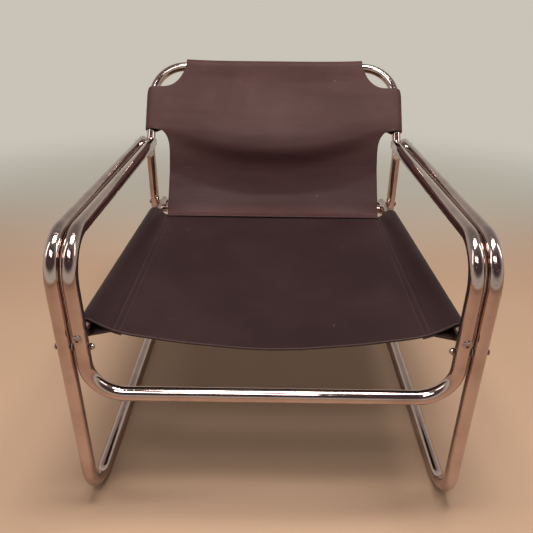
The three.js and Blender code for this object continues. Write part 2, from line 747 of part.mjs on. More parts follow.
// The panel's edge line, seen from the side: down the front of the posts, and on to the lap
function backRows() {
  const ahead = lightRadius + backSlack + leather / 2;
  const normal = new THREE.Vector2(-Math.cos(backLean), Math.sin(backLean));
  const front = (z) => new THREE.Vector2(postSetback + (z - kneeHeight) * Math.tan(backLean), z)
    .addScaledVector(normal, ahead);
  const foot = front(backSleeveFoot);
  const top = front(backTopHeight);
  const rear = seatSleeve(seatRearSetback);
  const lapHeight = seatSurface(rear, seatDropShares[0]) + touchGap + backPanelLeather / 2;
  const lapRear = new THREE.Vector2(seatRearSetback + leather, lapHeight);
  const lapFront = new THREE.Vector2(seatRearSetback - backLap, lapHeight);
  const upperStep = postX - backTopHalfWidth;
  const lowerStep = postX - backLowerHalfWidth;
  const rows = [{ width: backLowerHalfWidth, place: lapFront }];
  for (let k = 0; k < backLowerRows; k += 1) {
    const place = lapRear.clone().lerp(foot, k / backLowerRows * (1 - backCutDepth / (foot.y - lapHeight)));
    rows.push({ width: backLowerHalfWidth, place });
  }
  for (const [widthShare, heightShare] of lowerCutShares) {
    const place = lapRear.clone().lerp(foot, 1 - heightShare * backCutDepth / (foot.y - lapHeight));
    rows.push({ width: backLowerHalfWidth + lowerStep * widthShare, place });
  }
  for (let k = 1; k < backUpperRows; k += 1) {
    const z = mix(backSleeveFoot, backSleeveTop, k / backUpperRows);
    rows.push({ width: postX, place: front(z) });
  }
  for (const [widthShare, heightShare] of upperCutShares) {
    const z = mix(backSleeveTop, backTopHeight, heightShare);
    rows.push({ width: backTopHalfWidth + upperStep * widthShare, place: front(z) });
  }
  const reach = top.y - lapHeight;
  rows.forEach((row, r) => {
    const before = rows[Math.max(0, r - 1)].place;
    const after = rows[Math.min(rows.length - 1, r + 1)].place;
    const along = after.clone().sub(before).normalize();
    row.normal = new THREE.Vector2(-along.y, along.x);
    row.sag = backSag * shareAt(backSagShares, Math.max(0, row.place.y - lapHeight) / reach);
  });
  return rows;
}

// The seat's crossbar lies behind the foot of the back panel, clear of the panel's sag.
function seatBarSetback() {
  const middle = backRows().map((row) => row.place.clone().addScaledVector(row.normal, -row.sag));
  const room = (point) => point.y - railHeight(point.x) - lightRadius - seatBarClearance;
  const after = middle.findIndex((point) => room(point) >= 0);
  const [low, high] = [middle[after - 1], middle[after]];
  return mix(low.x, high.x, room(low) / (room(low) - room(high)));
}

function backPanel() {
  const rows = backRows();
  const positions = [];
  const index = [];
  for (const face of [1, -1]) {
    for (const { place, normal, sag, width } of rows) {
      for (let c = 0; c <= backColumns; c += 1) {
        const across = 2 * c / backColumns - 1;
        const push = face * backPanelLeather / 2 - sag * (1 - across ** 2);
        positions.push(across * width, place.x + normal.x * push, place.y + normal.y * push);
      }
    }
  }
  const columns = backColumns + 1;
  const corner = (face, r, c) => face * rows.length * columns + r * columns + c;
  const quad = (a, b, c, d) => index.push(a, b, c, a, c, d);
  for (let r = 1; r < rows.length; r += 1) {
    for (let c = 1; c < columns; c += 1) {
      quad(corner(0, r - 1, c - 1), corner(0, r - 1, c), corner(0, r, c), corner(0, r, c - 1));
      quad(corner(1, r - 1, c), corner(1, r - 1, c - 1), corner(1, r, c - 1), corner(1, r, c));
    }
    quad(corner(0, r, 0), corner(1, r, 0), corner(1, r - 1, 0), corner(0, r - 1, 0));
    quad(corner(0, r - 1, columns - 1), corner(1, r - 1, columns - 1), corner(1, r, columns - 1),
      corner(0, r, columns - 1));
  }
  for (let c = 1; c < columns; c += 1) {
    const last = rows.length - 1;
    quad(corner(0, 0, c), corner(0, 0, c - 1), corner(1, 0, c - 1), corner(1, 0, c));
    quad(corner(0, last, c - 1), corner(0, last, c), corner(1, last, c), corner(1, last, c - 1));
  }
  const geometry = new THREE.BufferGeometry();
  geometry.setAttribute('position', new THREE.BufferAttribute(new Float32Array(positions), 3));
  geometry.setIndex(index);
  return toSolid(geometry);
}

// A side sleeve runs up its leaning post, and a little way into the top corner's bend.
function sideSleevePath(sign, margin) {
  const upwards = at(0, Math.sin(backLean), Math.cos(backLean));
  const onPost = (z) => at(sign * postX, postSetback + (z - kneeHeight) * Math.tan(backLean), z);
  const bendStart = onPost(backTopHeight).addScaledVector(upwards, -backCornerRadius);
  const reach = backCornerRadius * Math.tan(sleeveTurn / 2);
  const corner = bendStart.addScaledVector(upwards, reach);
  const outward = upwards.clone().multiplyScalar(Math.cos(sleeveTurn))
    .addScaledVector(inwards(sign), Math.sin(sleeveTurn));
  const end = corner.clone().addScaledVector(outward, reach + margin);
  return new BentPath([onPost(backSleeveFoot - margin), corner, end], [backCornerRadius], [2]);
}

// The panel ends inside the sleeves' walls, a little short of their faces and their ends.
function backLeather() {
  const bore = lightRadius + backSlack;
  const margin = leather / 2;
  const bar = sides.map(({ sign }) => at(sign * (backTopHalfWidth + margin), backTopSetback, backTopHeight));
  const paths = [new BentPath(bar), ...sides.map(({ sign }) => sideSleevePath(sign, margin))];
  const sleeves = paths.map((path) => sweep(path, bore + leather, bore));
  addPiece('back_leather', sleeves.reduce((solid, sleeve) => solid.add(sleeve), backPanel()), hide());
}

baseTube();
frontFrameTube();
backTube();
seatRails();
seatCrossbar();
endFittings();
legBolts();
railScrews();
armBolts();
armScrews();
postBolts();
crossbarScrews();
glides();
seatLeather();
backLeather();

// The origin is on the floor, under the middle of the whole.
const bounds = new THREE.Box3().setFromObject(pieces);
const middle = bounds.getCenter(new THREE.Vector3());
pieces.position.set(-middle.x, -middle.y, -bounds.min.z);
const chair = new THREE.Group();
chair.add(pieces);

export default chair;
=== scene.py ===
# %% [markdown]
# # A cantilever lounge chair of bent tube and saddle leather
#
# The real chair is a few lengths of chromed steel tube, bent cold and bolted together, with two
# sheets of thick leather slung between them. This lesson builds it the same way round: every tube
# is pushed through its bends, every fitting is turned, and the leather is laid over the rails last.
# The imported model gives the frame, so all places here are metres in that frame.

# %% The frame
import math

import bmesh
import bpy
from mathutils import Matrix, Vector


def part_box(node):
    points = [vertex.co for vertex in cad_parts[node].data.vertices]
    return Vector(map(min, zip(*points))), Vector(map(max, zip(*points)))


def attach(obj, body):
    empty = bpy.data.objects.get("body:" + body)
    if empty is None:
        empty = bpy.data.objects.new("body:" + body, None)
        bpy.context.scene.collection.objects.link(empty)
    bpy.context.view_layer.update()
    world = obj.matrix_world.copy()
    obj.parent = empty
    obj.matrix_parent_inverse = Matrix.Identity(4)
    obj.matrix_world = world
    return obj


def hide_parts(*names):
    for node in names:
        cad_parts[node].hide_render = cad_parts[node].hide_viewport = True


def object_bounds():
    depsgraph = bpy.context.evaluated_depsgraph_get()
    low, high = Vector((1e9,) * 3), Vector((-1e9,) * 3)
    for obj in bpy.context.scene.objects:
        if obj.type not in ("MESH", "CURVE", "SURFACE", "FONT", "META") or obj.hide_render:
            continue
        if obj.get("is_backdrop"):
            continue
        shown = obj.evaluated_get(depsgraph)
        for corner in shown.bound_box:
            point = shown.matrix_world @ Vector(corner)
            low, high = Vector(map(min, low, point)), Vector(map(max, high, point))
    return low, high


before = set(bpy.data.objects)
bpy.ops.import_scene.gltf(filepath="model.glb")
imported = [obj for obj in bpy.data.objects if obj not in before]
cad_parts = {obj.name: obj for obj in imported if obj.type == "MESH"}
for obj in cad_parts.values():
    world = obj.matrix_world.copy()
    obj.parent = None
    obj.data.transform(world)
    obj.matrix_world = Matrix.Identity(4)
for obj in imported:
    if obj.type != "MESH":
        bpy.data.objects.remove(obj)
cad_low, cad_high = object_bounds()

print("CAD box", [round(v, 4) for v in (*cad_low, *cad_high)])

# %% [markdown]
# ## Sizes
#
# A tube bender works from a drawing with few numbers: the tube's diameter, the bend radii, and the
# heights and setbacks of the corners of each centre line. The same numbers are named here, in
# metres. Setbacks run backwards from the centre line of the front legs, and heights from the floor.

# %% Sizes of the tubes and their centre lines
MM = 0.001
main_radius, main_wall = 12.5 * MM, 2 * MM
light_radius, light_wall = 11 * MM, 1.5 * MM
touch_gap, leg_gap = 0.3 * MM, 2.5 * MM
glide_thickness = 2 * MM
outer_x = 335 * MM
inner_x = outer_x - 2 * main_radius - leg_gap
post_x = outer_x - main_radius - light_radius - touch_gap
rail_rear_x = post_x - 2 * light_radius - touch_gap
arm_height, arm_rear_height = 542.5 * MM, 524 * MM
arm_bend, floor_bend, rear_bar_bend, front_bar_bend = 70 * MM, 70 * MM, 70 * MM, 62 * MM
runner_length, runner_height = 650 * MM, glide_thickness + main_radius
rail_front_height, rail_rear_height = 383 * MM, 369 * MM
front_bar_height = rail_front_height - 117.5 * MM
leg_bolt_height = rail_front_height - 21 * MM
post_setback, post_foot_height = 643 * MM, rail_rear_height - 22 * MM
knee_height, knee_bend = arm_rear_height - 16 * MM, 60 * MM
back_rise, back_run, back_corner = 182 * MM, 136 * MM, 82 * MM
seat_bar_setback = 595.95 * MM
arm_overhang, rail_overhang = 14 * MM, 9 * MM

back_lean = math.atan2(back_run, back_rise)
knee_start = knee_height - knee_bend * math.tan(back_lean / 2)
legs_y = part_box("base_tube")[0].y + main_radius


def at(x, setback, height):
    """A point of the drawing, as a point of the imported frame."""
    return Vector((x, legs_y + setback, height))


def mix(a, b, share):
    return a + (b - a) * share


print("front legs' centre line at y =", round(legs_y, 5))
print("back leans", round(math.degrees(back_lean), 2), "degrees")

# %% [markdown]
# Arms and rails are straight, but they slope. Each is known at its two ends, so one line gives its
# height, and for the rails also its distance from the middle, at any setback. The arms stop where
# the leaning part of the back frame crosses them: the outer one beside it, the inner one before it.

# %% Where the arms and the rails run
knee_turn = math.asin((arm_rear_height - knee_start) / knee_bend)
cross_tilt = min(back_lean, knee_turn)
arm_cross = post_setback + knee_bend * (1 - math.cos(cross_tilt))


def arm_z(setback):
    return mix(arm_height, arm_rear_height, setback / arm_cross)


def face_reach(radius):
    """How far before the leaning tube's centre line a butted tube of this radius has to stop."""
    return light_radius / math.cos(cross_tilt) + radius * math.tan(cross_tilt)


outer_arm_end = arm_cross + arm_overhang
inner_arm_end = arm_cross - face_reach(main_radius) - touch_gap


def rail_x(setback):
    return mix(inner_x, rail_rear_x, setback / post_setback)


def rail_z(setback):
    return mix(rail_front_height, rail_rear_height, setback / post_setback)


def rail_point(side, setback):
    return at(side * rail_x(setback), setback, rail_z(setback))


def rail_heading(side):
    return (rail_point(side, post_setback) - rail_point(side, 0)).normalized()


print("arms end at", round(inner_arm_end, 4), round(outer_arm_end, 4))

# %% [markdown]
# ## The camera
#
# The camera stands where the photographer stood: close in front of the chair, about 0.9 m up and
# looking down. A wide lens so near makes the front legs splay, so the same distance and lens matter
# more than any detail. The turn is written as three angles and made into a matrix.

# %% The camera at the photograph's place
heading_turn, pitch, roll = -0.00834, 0.479, 0.00881
eye, lens_length, film_width = (-0.00332, -1.11420, 0.88879), 37.09, 36
forward = Vector((math.sin(heading_turn) * math.cos(pitch),
                  math.cos(heading_turn) * math.cos(pitch), -math.sin(pitch)))
level = Vector((math.cos(heading_turn), -math.sin(heading_turn), 0))
upward = level.cross(forward)
right = level * math.cos(roll) + upward * math.sin(roll)
up = upward * math.cos(roll) - level * math.sin(roll)

camera_data = bpy.data.cameras.new("view_from_the_front")
camera_data.lens, camera_data.sensor_width = lens_length, film_width
camera = bpy.data.objects.new("view_from_the_front", camera_data)
bpy.context.scene.collection.objects.link(camera)
turn = Matrix((right, up, -forward)).transposed().to_4x4()
camera.matrix_world = Matrix.Translation(eye) @ turn
bpy.context.scene.camera = camera
print("camera looks", [round(v, 3) for v in forward])

# %% [markdown]
# ## Adding a finished piece
#
# Every piece ends the same way: its faces are turned outwards, its round parts are shaded smooth
# while its real corners stay sharp, and it rides on the chair's one rigid body. It also names the
# CAD nodes that it stands for and the finish that it takes.

# %% A helper that finishes a piece
CORNER = math.radians(32)
pieces = {"chrome": [], "zinc": [], "hide": [], "plastic": []}


def add_piece(name, bm, slot, *nodes, recalculate=True):
    """Makes the bmesh an object that rides on the chair, and stands for those CAD nodes."""
    if recalculate:
        bmesh.ops.recalc_face_normals(bm, faces=bm.faces)
    for face in bm.faces:
        face.smooth = True
    for edge in bm.edges:
        edge.smooth = len(edge.link_faces) != 2 or edge.calc_face_angle(0) < CORNER
    mesh = bpy.data.meshes.new(name)
    bm.to_mesh(mesh)
    bm.free()
    piece = bpy.data.objects.new(name, mesh)
    bpy.context.scene.collection.objects.link(piece)
    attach(piece, "root")
    if nodes:
        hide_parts(*nodes)
    pieces[slot].append(piece)
    return piece


def new_ones(result, kind):
    return [element for element in result["geom"] if isinstance(element, kind)]


def grown_ring(result):
    """The new verts that an edge extrusion made, and the open ring of edges between them."""
    verts = new_ones(result, bmesh.types.BMVert)
    fresh = set(verts)
    edges = new_ones(result, bmesh.types.BMEdge)
    return verts, [edge for edge in edges if fresh.issuperset(edge.verts)]


print("finishes", ", ".join(pieces))

# %% [markdown]
# ## Bent tube
#
# A real tube starts as a straight length and is pushed round a former, one bend after another. In
# bmesh the same thing is a ring of edges that is carried along: `extrude_edge_only` and a move for
# a straight run, `spin` for a bend. Spin keeps the ring square to the centre line and the bend at
# one radius, which a curve with handles only comes near to. The ends are turned in over the wall
# and a little way down the bore, so that a tube end shows its thickness.

# %% Tools that push a tube along
TUBE_SIDES = 48
BEND_STEP = math.radians(5)


def run_on(bm, ring, move):
    """Carries the open ring on in a straight line."""
    verts, ring = grown_ring(bmesh.ops.extrude_edge_only(bm, edges=ring))
    bmesh.ops.translate(bm, verts=verts, vec=move)
    return ring


def bend_on(bm, ring, centre, axis, angle):
    """Carries the open ring round a former."""
    verts = list({vert for edge in ring for vert in edge.verts})
    result = bmesh.ops.spin(bm, geom=verts + ring, cent=centre, axis=axis, angle=angle,
                            steps=max(2, round(angle / BEND_STEP)), use_duplicate=False)
    return [element for element in result["geom_last"] if isinstance(element, bmesh.types.BMEdge)]


def turn_in(bm, ring, place, inward, radius, wall, cope):
    """Closes a tube's end: over the wall, down the bore, and a disc across it out of sight."""
    depth = 2 * radius
    verts, rim = grown_ring(bmesh.ops.extrude_edge_only(bm, edges=ring))
    bmesh.ops.scale(bm, verts=verts, vec=Vector((1, 1, 1)) * (1 - wall / radius),
                    space=Matrix.Translation(-place))
    if cope:
        for vert in {vert for edge in ring for vert in edge.verts} | set(verts):
            vert.co = cope(vert.co)
    bmesh.ops.edgeloop_fill(bm, edges=run_on(bm, rim, inward * depth))


print("bends go in steps of", round(math.degrees(BEND_STEP)), "degrees")

# %% [markdown]
# With those moves a whole tube is a walk along its centre line. At each corner the walk stops short
# by the tangent length of the bend, turns round a centre that lies square to the way it came, and
# goes on. Both ends are turned in last, once the outside is complete.

# %% A tool for a whole tube
def bent_tube(corners, radii, radius, wall, cope=None):
    """The tube whose centre line has these corners, rounded to these radii."""
    bm = bmesh.new()
    place, heading = corners[0].copy(), (corners[1] - corners[0]).normalized()
    begin = heading
    stand = Matrix.Translation(place) @ heading.to_track_quat("Z", "Y").to_matrix().to_4x4()
    bmesh.ops.create_circle(bm, segments=TUBE_SIDES, radius=radius, matrix=stand)
    first = bm.edges[:]
    ring = first
    for corner, beyond, bend in zip(corners[1:], corners[2:], radii):
        onward = (beyond - corner).normalized()
        angle = heading.angle(onward)
        start = corner - heading * bend * math.tan(angle / 2)
        ring = run_on(bm, ring, start - place)
        toward = (onward - heading * math.cos(angle)).normalized()
        ring = bend_on(bm, ring, start + toward * bend, heading.cross(toward), angle)
        place, heading = corner + onward * bend * math.tan(angle / 2), onward
    last = run_on(bm, ring, corners[-1] - place)
    turn_in(bm, first, corners[0], begin, radius, wall, cope)
    turn_in(bm, last, corners[-1], -heading, radius, wall, cope)
    return bm


def mirrored_line(half, radii):
    """A centre line down one side and back up the other, with the radius of each of its bends."""
    return half(-1) + half(1)[::-1], radii + radii[::-1]


print("tubes have", TUBE_SIDES, "sides")

# %% [markdown]
# ## The base and the inner front frame
#
# The base is one tube: arm, front leg, runner, rear bar, and back again. The inner frame is a
# second, shorter tube beside it, whose front bar ties the legs together under the seat. Both arms
# fall gently to the rear, where they meet the back frame.

# %% The two main tubes
def base_half(side):
    x = side * outer_x
    return [at(x, outer_arm_end, arm_z(outer_arm_end)), at(x, 0, arm_height),
            at(x, 0, runner_height), at(x, runner_length, runner_height)]


def front_half(side):
    x = side * inner_x
    return [at(x, inner_arm_end, arm_z(inner_arm_end)), at(x, 0, arm_height),
            at(x, 0, front_bar_height)]


base_line = mirrored_line(base_half, [arm_bend, floor_bend, rear_bar_bend])
front_line = mirrored_line(front_half, [arm_bend, front_bar_bend])
add_piece("base_loop", bent_tube(*base_line, main_radius, main_wall), "chrome", "base_tube")
add_piece("inner_front_frame", bent_tube(*front_line, main_radius, main_wall), "chrome",
          "front_frame_tube")
print("main tubes", [len(piece.data.polygons) for piece in pieces["chrome"]], "faces")

# %% [markdown]
# ## The back frame, the seat rails and the crossbar
#
# A lighter tube stands up behind the arms, bends back at the knee and goes over the top. Two
# straight rails run from the inner legs to its posts, and a crossbar keeps the rails apart. The
# crossbar's ends are coped, which is a fitter's word for cut to the curve of what they butt on:
# each point of the end slides along the bar until it lies on the rail.

# %% The light tubes
rail_start, rail_end = main_radius + 4 * MM, post_setback + rail_overhang


def back_half(side):
    x = side * post_x
    return [at(x, post_setback, post_foot_height), at(x, post_setback, knee_height),
            at(x, post_setback + back_run, knee_height + back_rise)]


def cope_to_rail(point):
    """Slides a point of the crossbar's end outwards or inwards, on to the rail's surface."""
    side = math.copysign(1, point.x)
    setback = point.y - legs_y
    across = min(light_radius, abs(point.z - rail_z(setback)))
    reach = math.sqrt((light_radius + touch_gap) ** 2 - across ** 2)
    return Vector((side * (rail_x(setback) - reach), point.y, point.z))


back_line = mirrored_line(back_half, [knee_bend, back_corner])
add_piece("back_loop", bent_tube(*back_line, light_radius, light_wall), "chrome", "back_tube")
for side, word in ((-1, "left"), (1, "right")):
    rail_line = [rail_point(side, rail_start), rail_point(side, rail_end)]
    add_piece(f"rail_{word}", bent_tube(rail_line, [], light_radius, light_wall), "chrome",
              f"seat_rail_{word}")
bar_ends = [rail_point(side, seat_bar_setback) for side in (-1, 1)]
bar = bent_tube(bar_ends, [], light_radius, light_wall, cope_to_rail)
add_piece("crossbar", bar, "chrome", "seat_crossbar")
print("light tubes", [piece.name for piece in pieces["chrome"][2:]])

# %% [markdown]
# ## Small turned fittings
#
# Screws, nuts, plugs, washers and saddles all come off a lathe. Each is a stack of rings: one ring
# is extruded again and again, and every new ring is set to a radius and a place along the axis. A
# ring can also be pressed to a hexagon, which gives a nut its flats and a screw its socket. This
# keeps one closed skin, where a boolean would leave slivers in so small a part.

# %% A tool that stacks rings
RINGS, DOME_STEPS = 24, 5


def ring_place(angle, radius, along, flats):
    """A point of one ring. With flats, the radius is that of the circle inside them."""
    reach = radius
    if flats:
        reach = radius / math.cos(angle % (2 * math.pi / flats) - math.pi / flats)
    x, y = reach * math.cos(angle), reach * math.sin(angle)
    return Vector((x, y, along(x, y) if callable(along) else along))


def ring_stack(origin, axis, rings, count=RINGS):
    """A closed turned shape. Its rings are (radius, place along the axis, flats)."""
    bm = bmesh.new()
    bmesh.ops.create_circle(bm, segments=count, radius=1)
    first = bm.edges[:]
    angles = {vert: math.atan2(vert.co.y, vert.co.x) for vert in bm.verts}
    for vert, angle in angles.items():
        vert.co = ring_place(angle, *rings[0])
    ring = first
    for step in rings[1:]:
        verts, ring = grown_ring(bmesh.ops.extrude_edge_only(bm, edges=ring))
        for vert in verts:
            source = next(edge.other_vert(vert) for edge in vert.link_edges
                          if edge.other_vert(vert) in angles and edge.other_vert(vert) not in verts)
            angles[vert] = angles[source]
        for vert in verts:
            vert.co = ring_place(angles[vert], *step)
    bmesh.ops.edgeloop_fill(bm, edges=first)
    bmesh.ops.edgeloop_fill(bm, edges=ring)
    stand = Matrix.Translation(origin) @ axis.to_track_quat("Z", "Y").to_matrix().to_4x4()
    bmesh.ops.transform(bm, matrix=stand, verts=bm.verts)
    return bm


def dome(radius, low, high):
    """Rings of a quarter-round crown, from its rim to just short of its top."""
    climb = [math.pi / 2 * k / DOME_STEPS for k in range(DOME_STEPS)]
    crown = [(radius * math.cos(a), mix(low, high, math.sin(a)), 0) for a in climb]
    return crown + [(radius * 0.08, high, 0)]


print("a fitting has", RINGS, "points to a ring")

# %% [markdown]
# ## Screws and domed nuts
#
# The screws have a low round head with a hexagon socket, and the bolts through the legs end in
# domed nuts. The head's rings start at the floor of the socket, climb its wall, go out over the
# crown and come back in to the shank. Small chamfers catch the light, which is what makes so small
# a part read as metal.

# %% Screws and nuts
small_screw = dict(radius=3 * MM, head=5.5 * MM, height=3.4 * MM, socket=2 * MM, depth=2 * MM)
large_screw = dict(radius=4 * MM, head=8 * MM, height=2.8 * MM, socket=3.2 * MM, depth=2.4 * MM)
rail_screw_length, arm_bolt_length, crossbar_screw_length = 48 * MM, 35.3 * MM, 43 * MM
past_nut_face = 5 * MM


def screw(seat, axis, length, size):
    """A socket screw. The seat is the middle of the head's underside."""
    head, height, chamfer = size["head"], size["height"], 0.3 * MM
    crown = [(head * math.cos(a), -height * (0.4 + 0.6 * math.sin(a)), 0)
             for a in map(math.radians, (58, 42, 26, 10))]
    return ring_stack(seat, axis, [
        (size["socket"], size["depth"] - height, 6),
        (size["socket"], -height + chamfer, 6),
        (size["socket"] + 2 * chamfer, -height, 0),
        *crown,
        (head, -0.4 * height, 0),
        (head, -chamfer / 2, 0),
        (head - chamfer / 2, 0, 0),
        (size["radius"], 0, 0),
        (size["radius"], length - chamfer, 0),
        (size["radius"] - chamfer, length, 0),
    ])


def domed_nut(seat, axis):
    """A nut with six flats, a washer face and a domed cap."""
    bore, flat, hex_height, height, chamfer = 3 * MM, 5 * MM, 4.6 * MM, 8.6 * MM, 0.4 * MM
    return ring_stack(seat, axis, [
        (bore, 0, 0),
        (flat - chamfer / 2, 0, 0),
        (flat, chamfer, 6),
        (flat, hex_height - chamfer, 6),
        (flat, hex_height, 0),
        *dome(flat - chamfer, hex_height + chamfer / 2, height),
    ])


def bolt_and_nut(seat, nut, axis):
    length = (seat - nut).length + past_nut_face
    return screw(seat, axis, length, small_screw), domed_nut(nut, axis)


print("a large head is", round(2 * large_screw["head"] / MM, 1), "mm across")

# %% [markdown]
# Each side has five of them here, and two end in a domed nut: the bolt through both legs, and the
# bolt that holds the rail to the foot of the back frame's post. The rail screw runs from the front
# of the inner leg straight down the rail. Heads stand a hair off the tubes, so that nothing
# overlaps.

# %% Every bolt in its place
bolts = {}
for side, word in ((-1, "left"), (1, "right")):
    inwards, face = Vector((-side, 0, 0)), main_radius + touch_gap
    seat = at(side * (outer_x + face), 0, leg_bolt_height)
    nut = at(side * (inner_x - face), 0, leg_bolt_height)
    bolts[f"leg_bolt_{word}"], bolts[f"leg_nut_{word}"] = bolt_and_nut(seat, nut, inwards)
    seat = rail_point(side, 0) - rail_heading(side) * face
    bolts[f"rail_screw_{word}"] = screw(seat, rail_heading(side), rail_screw_length, large_screw)
    seat = at(side * (outer_x + face), arm_cross, arm_rear_height)
    bolts[f"arm_bolt_{word}"] = screw(seat, inwards, arm_bolt_length, small_screw)
    face = light_radius + touch_gap
    seat = at(side * (post_x + face), post_setback, rail_rear_height)
    nut = at(side * (rail_rear_x - face), post_setback, rail_rear_height)
    bolts[f"post_bolt_{word}"], bolts[f"post_nut_{word}"] = bolt_and_nut(seat, nut, inwards)
    seat = rail_point(side, seat_bar_setback) - inwards * face
    bolts[f"crossbar_screw_{word}"] = screw(seat, inwards, crossbar_screw_length, small_screw)
for name, bm in bolts.items():
    add_piece(name + ("_cap" if "nut" in name else "_head"), bm, "zinc", name)
print(len(bolts), "screws and nuts")

# %% [markdown]
# ## Plugs, saddles, washers and spacers
#
# A domed plug closes each open tube end. A saddle is a plug whose head is coped to the tube that it
# butts on, so that a screw can pull the two together. The cope is the same sum as on the crossbar,
# handed to the ring tool as a place along the axis that depends on the point.

# %% End fittings
def coped(distance, radius, tilt, side=-1, limit=None):
    """Place along a fitting's axis where it meets a tube that crosses it and leans by the tilt."""
    def along(x, y):
        depth = math.sqrt(max(0.0, radius ** 2 - x ** 2)) / math.cos(tilt)
        place = distance + y * math.tan(tilt) + side * depth
        return place if limit is None else min(place, limit)
    return along


def domed_plug(end, axis, radius, wall, shank):
    bore, crown = radius - wall - touch_gap, 4.3 * MM
    rings = [(bore, -shank, 0), (bore, touch_gap, 0), *dome(radius, touch_gap, crown)]
    return ring_stack(end, axis, rings, TUBE_SIDES)


def saddle(end, axis, radius, wall, cope, screw_hole):
    bore, shank = radius - wall - touch_gap, 26 * MM
    return ring_stack(end, axis, [
        (bore, -shank, 0), (bore, touch_gap, 0), (radius, touch_gap, 0), (radius, cope, 0),
        (radius * 0.75, cope, 0), (radius * 0.5, cope, 0), (screw_hole, cope, 0)], TUBE_SIDES)


print("a cope on a 12 mm round stands", round(-coped(0, 12 * MM, 0)(5 * MM, 0) / MM, 1),
      "mm back at 5 mm from its middle")

# %% [markdown]
# With the tools ready, each side of the chair gets its fittings in one go: three plugs, two
# saddles, the washer and the screw that hold the inner arm to the back frame, and the thin spacer
# that keeps the two legs apart at their bolt. A table lists them, with the finish that each takes.

# %% Plugs, saddles and washers
small_hole, large_hole = 3.3 * MM, 4.3 * MM
washer_radius, washer_edge, arm_screw_length = 7 * MM, 0.5 * MM, 63 * MM
spacer_radius, spacer_width = 7.5 * MM, 1.9 * MM
arm_axis = Vector((0, arm_cross, arm_rear_height - arm_height)).normalized()
cross_lean = cross_tilt - math.atan2(arm_height - arm_rear_height, arm_cross)
rail_fall = math.atan2(rail_front_height - rail_rear_height, post_setback)
washer_end = face_reach(washer_radius) + 2 * MM
rail_cope = coped(rail_start, main_radius + touch_gap, rail_fall)
arm_cope = coped(arm_cross - inner_arm_end, light_radius + touch_gap, cross_lean,
                 limit=arm_cross - inner_arm_end - 7 * MM)
washer_cope = coped(0, light_radius + touch_gap, cross_lean, side=1)

for side, word in ((-1, "left"), (1, "right")):
    rail_axis = rail_heading(side)
    outer_end = at(side * outer_x, outer_arm_end, arm_z(outer_arm_end))
    inner_end = at(side * inner_x, inner_arm_end, arm_z(inner_arm_end))
    post_foot = at(side * post_x, post_setback, post_foot_height)
    crossing = at(side * inner_x, arm_cross, arm_rear_height)
    spacer_face = at(side * (outer_x - main_radius - touch_gap), 0, leg_bolt_height)
    fittings = [
        ("chrome", "outer_arm_plug", "dome",
         domed_plug(outer_end, arm_axis, main_radius, main_wall, 9 * MM)),
        ("chrome", "rail_plug", "dome",
         domed_plug(rail_point(side, rail_end), rail_axis, light_radius, light_wall, 4 * MM)),
        ("chrome", "post_plug", "dome",
         domed_plug(post_foot, Vector((0, 0, -1)), light_radius, light_wall, 17 * MM)),
        ("zinc", "rail_saddle", "body",
         saddle(rail_point(side, rail_start), -rail_axis, light_radius, light_wall, rail_cope,
                large_hole)),
        ("zinc", "arm_saddle", "body",
         saddle(inner_end, arm_axis, main_radius, main_wall, arm_cope, small_hole)),
        ("zinc", "arm_washer", "body",
         ring_stack(crossing, arm_axis, [
             (small_hole, washer_cope, 0), (washer_radius, washer_cope, 0),
             (washer_radius, washer_end - washer_edge, 0),
             (washer_radius - washer_edge, washer_end, 0), (small_hole, washer_end, 0)])),
        ("zinc", "arm_screw", "body",
         screw(crossing + arm_axis * (washer_end + touch_gap), -arm_axis, arm_screw_length,
               small_screw)),
        ("plastic", "leg_spacer", "ring",
         ring_stack(spacer_face, Vector((-side, 0, 0)), [
             (small_hole, 0, 0), (spacer_radius, 0, 0), (spacer_radius, spacer_width, 0),
             (small_hole, spacer_width, 0)])),
    ]
    for slot, name, ending, bm in fittings:
        add_piece(f"{name}_{word}_{ending}", bm, slot, f"{name}_{word}")
print(len(pieces["chrome"]), "chromed pieces,", len(pieces["zinc"]), "plated fittings")

# %% [markdown]
# ## Glides
#
# A small plastic pad sits under each runner near its ends. It is a stadium shape, a circle pulled
# apart in the middle, and its top is hollowed to the tube, so its upper ring rises at the sides.

# %% Glides under the runners
glide_inset = 105 * MM


def glide(side, setback):
    half_width, straight, core, seat_gap = 7.5 * MM, 7.5 * MM, 3 * MM, 0.15 * MM
    middle = legs_y + setback

    def hollow(x, y):
        return runner_height - math.sqrt((main_radius + seat_gap) ** 2 - x ** 2)

    bm = ring_stack(at(side * outer_x, setback, 0), Vector((0, 0, 1)), [
        (core, 0, 0), (half_width - 0.8 * MM, 0, 0), (half_width - 0.2 * MM, 0.25 * MM, 0),
        (half_width, 0.8 * MM, 0), (half_width, hollow, 0), (half_width - 1.5 * MM, hollow, 0),
        (core, hollow, 0)], TUBE_SIDES)
    for vert in bm.verts:
        off = vert.co.y - middle
        vert.co.y += math.copysign(straight, off) if abs(off) > 1e-6 else 0
    return bm


for word, setback in (("front", glide_inset), ("rear", runner_length - glide_inset)):
    for side, sideword in ((-1, "left"), (1, "right")):
        name = f"glide_{word}_{sideword}"
        add_piece(name + "_pad", glide(side, setback), "plastic", name)
print(len(pieces["plastic"]), "plastic pieces")

# %% [markdown]
# ## Reading a measured curve
#
# Leather hangs in curves that no single arc gives. A few measured pairs describe such a curve, and
# a smooth line through them gives every point between. The first tool never overshoots a pair, so
# a hollow can't turn into a ripple, and the second one rounds a cut line through its points.

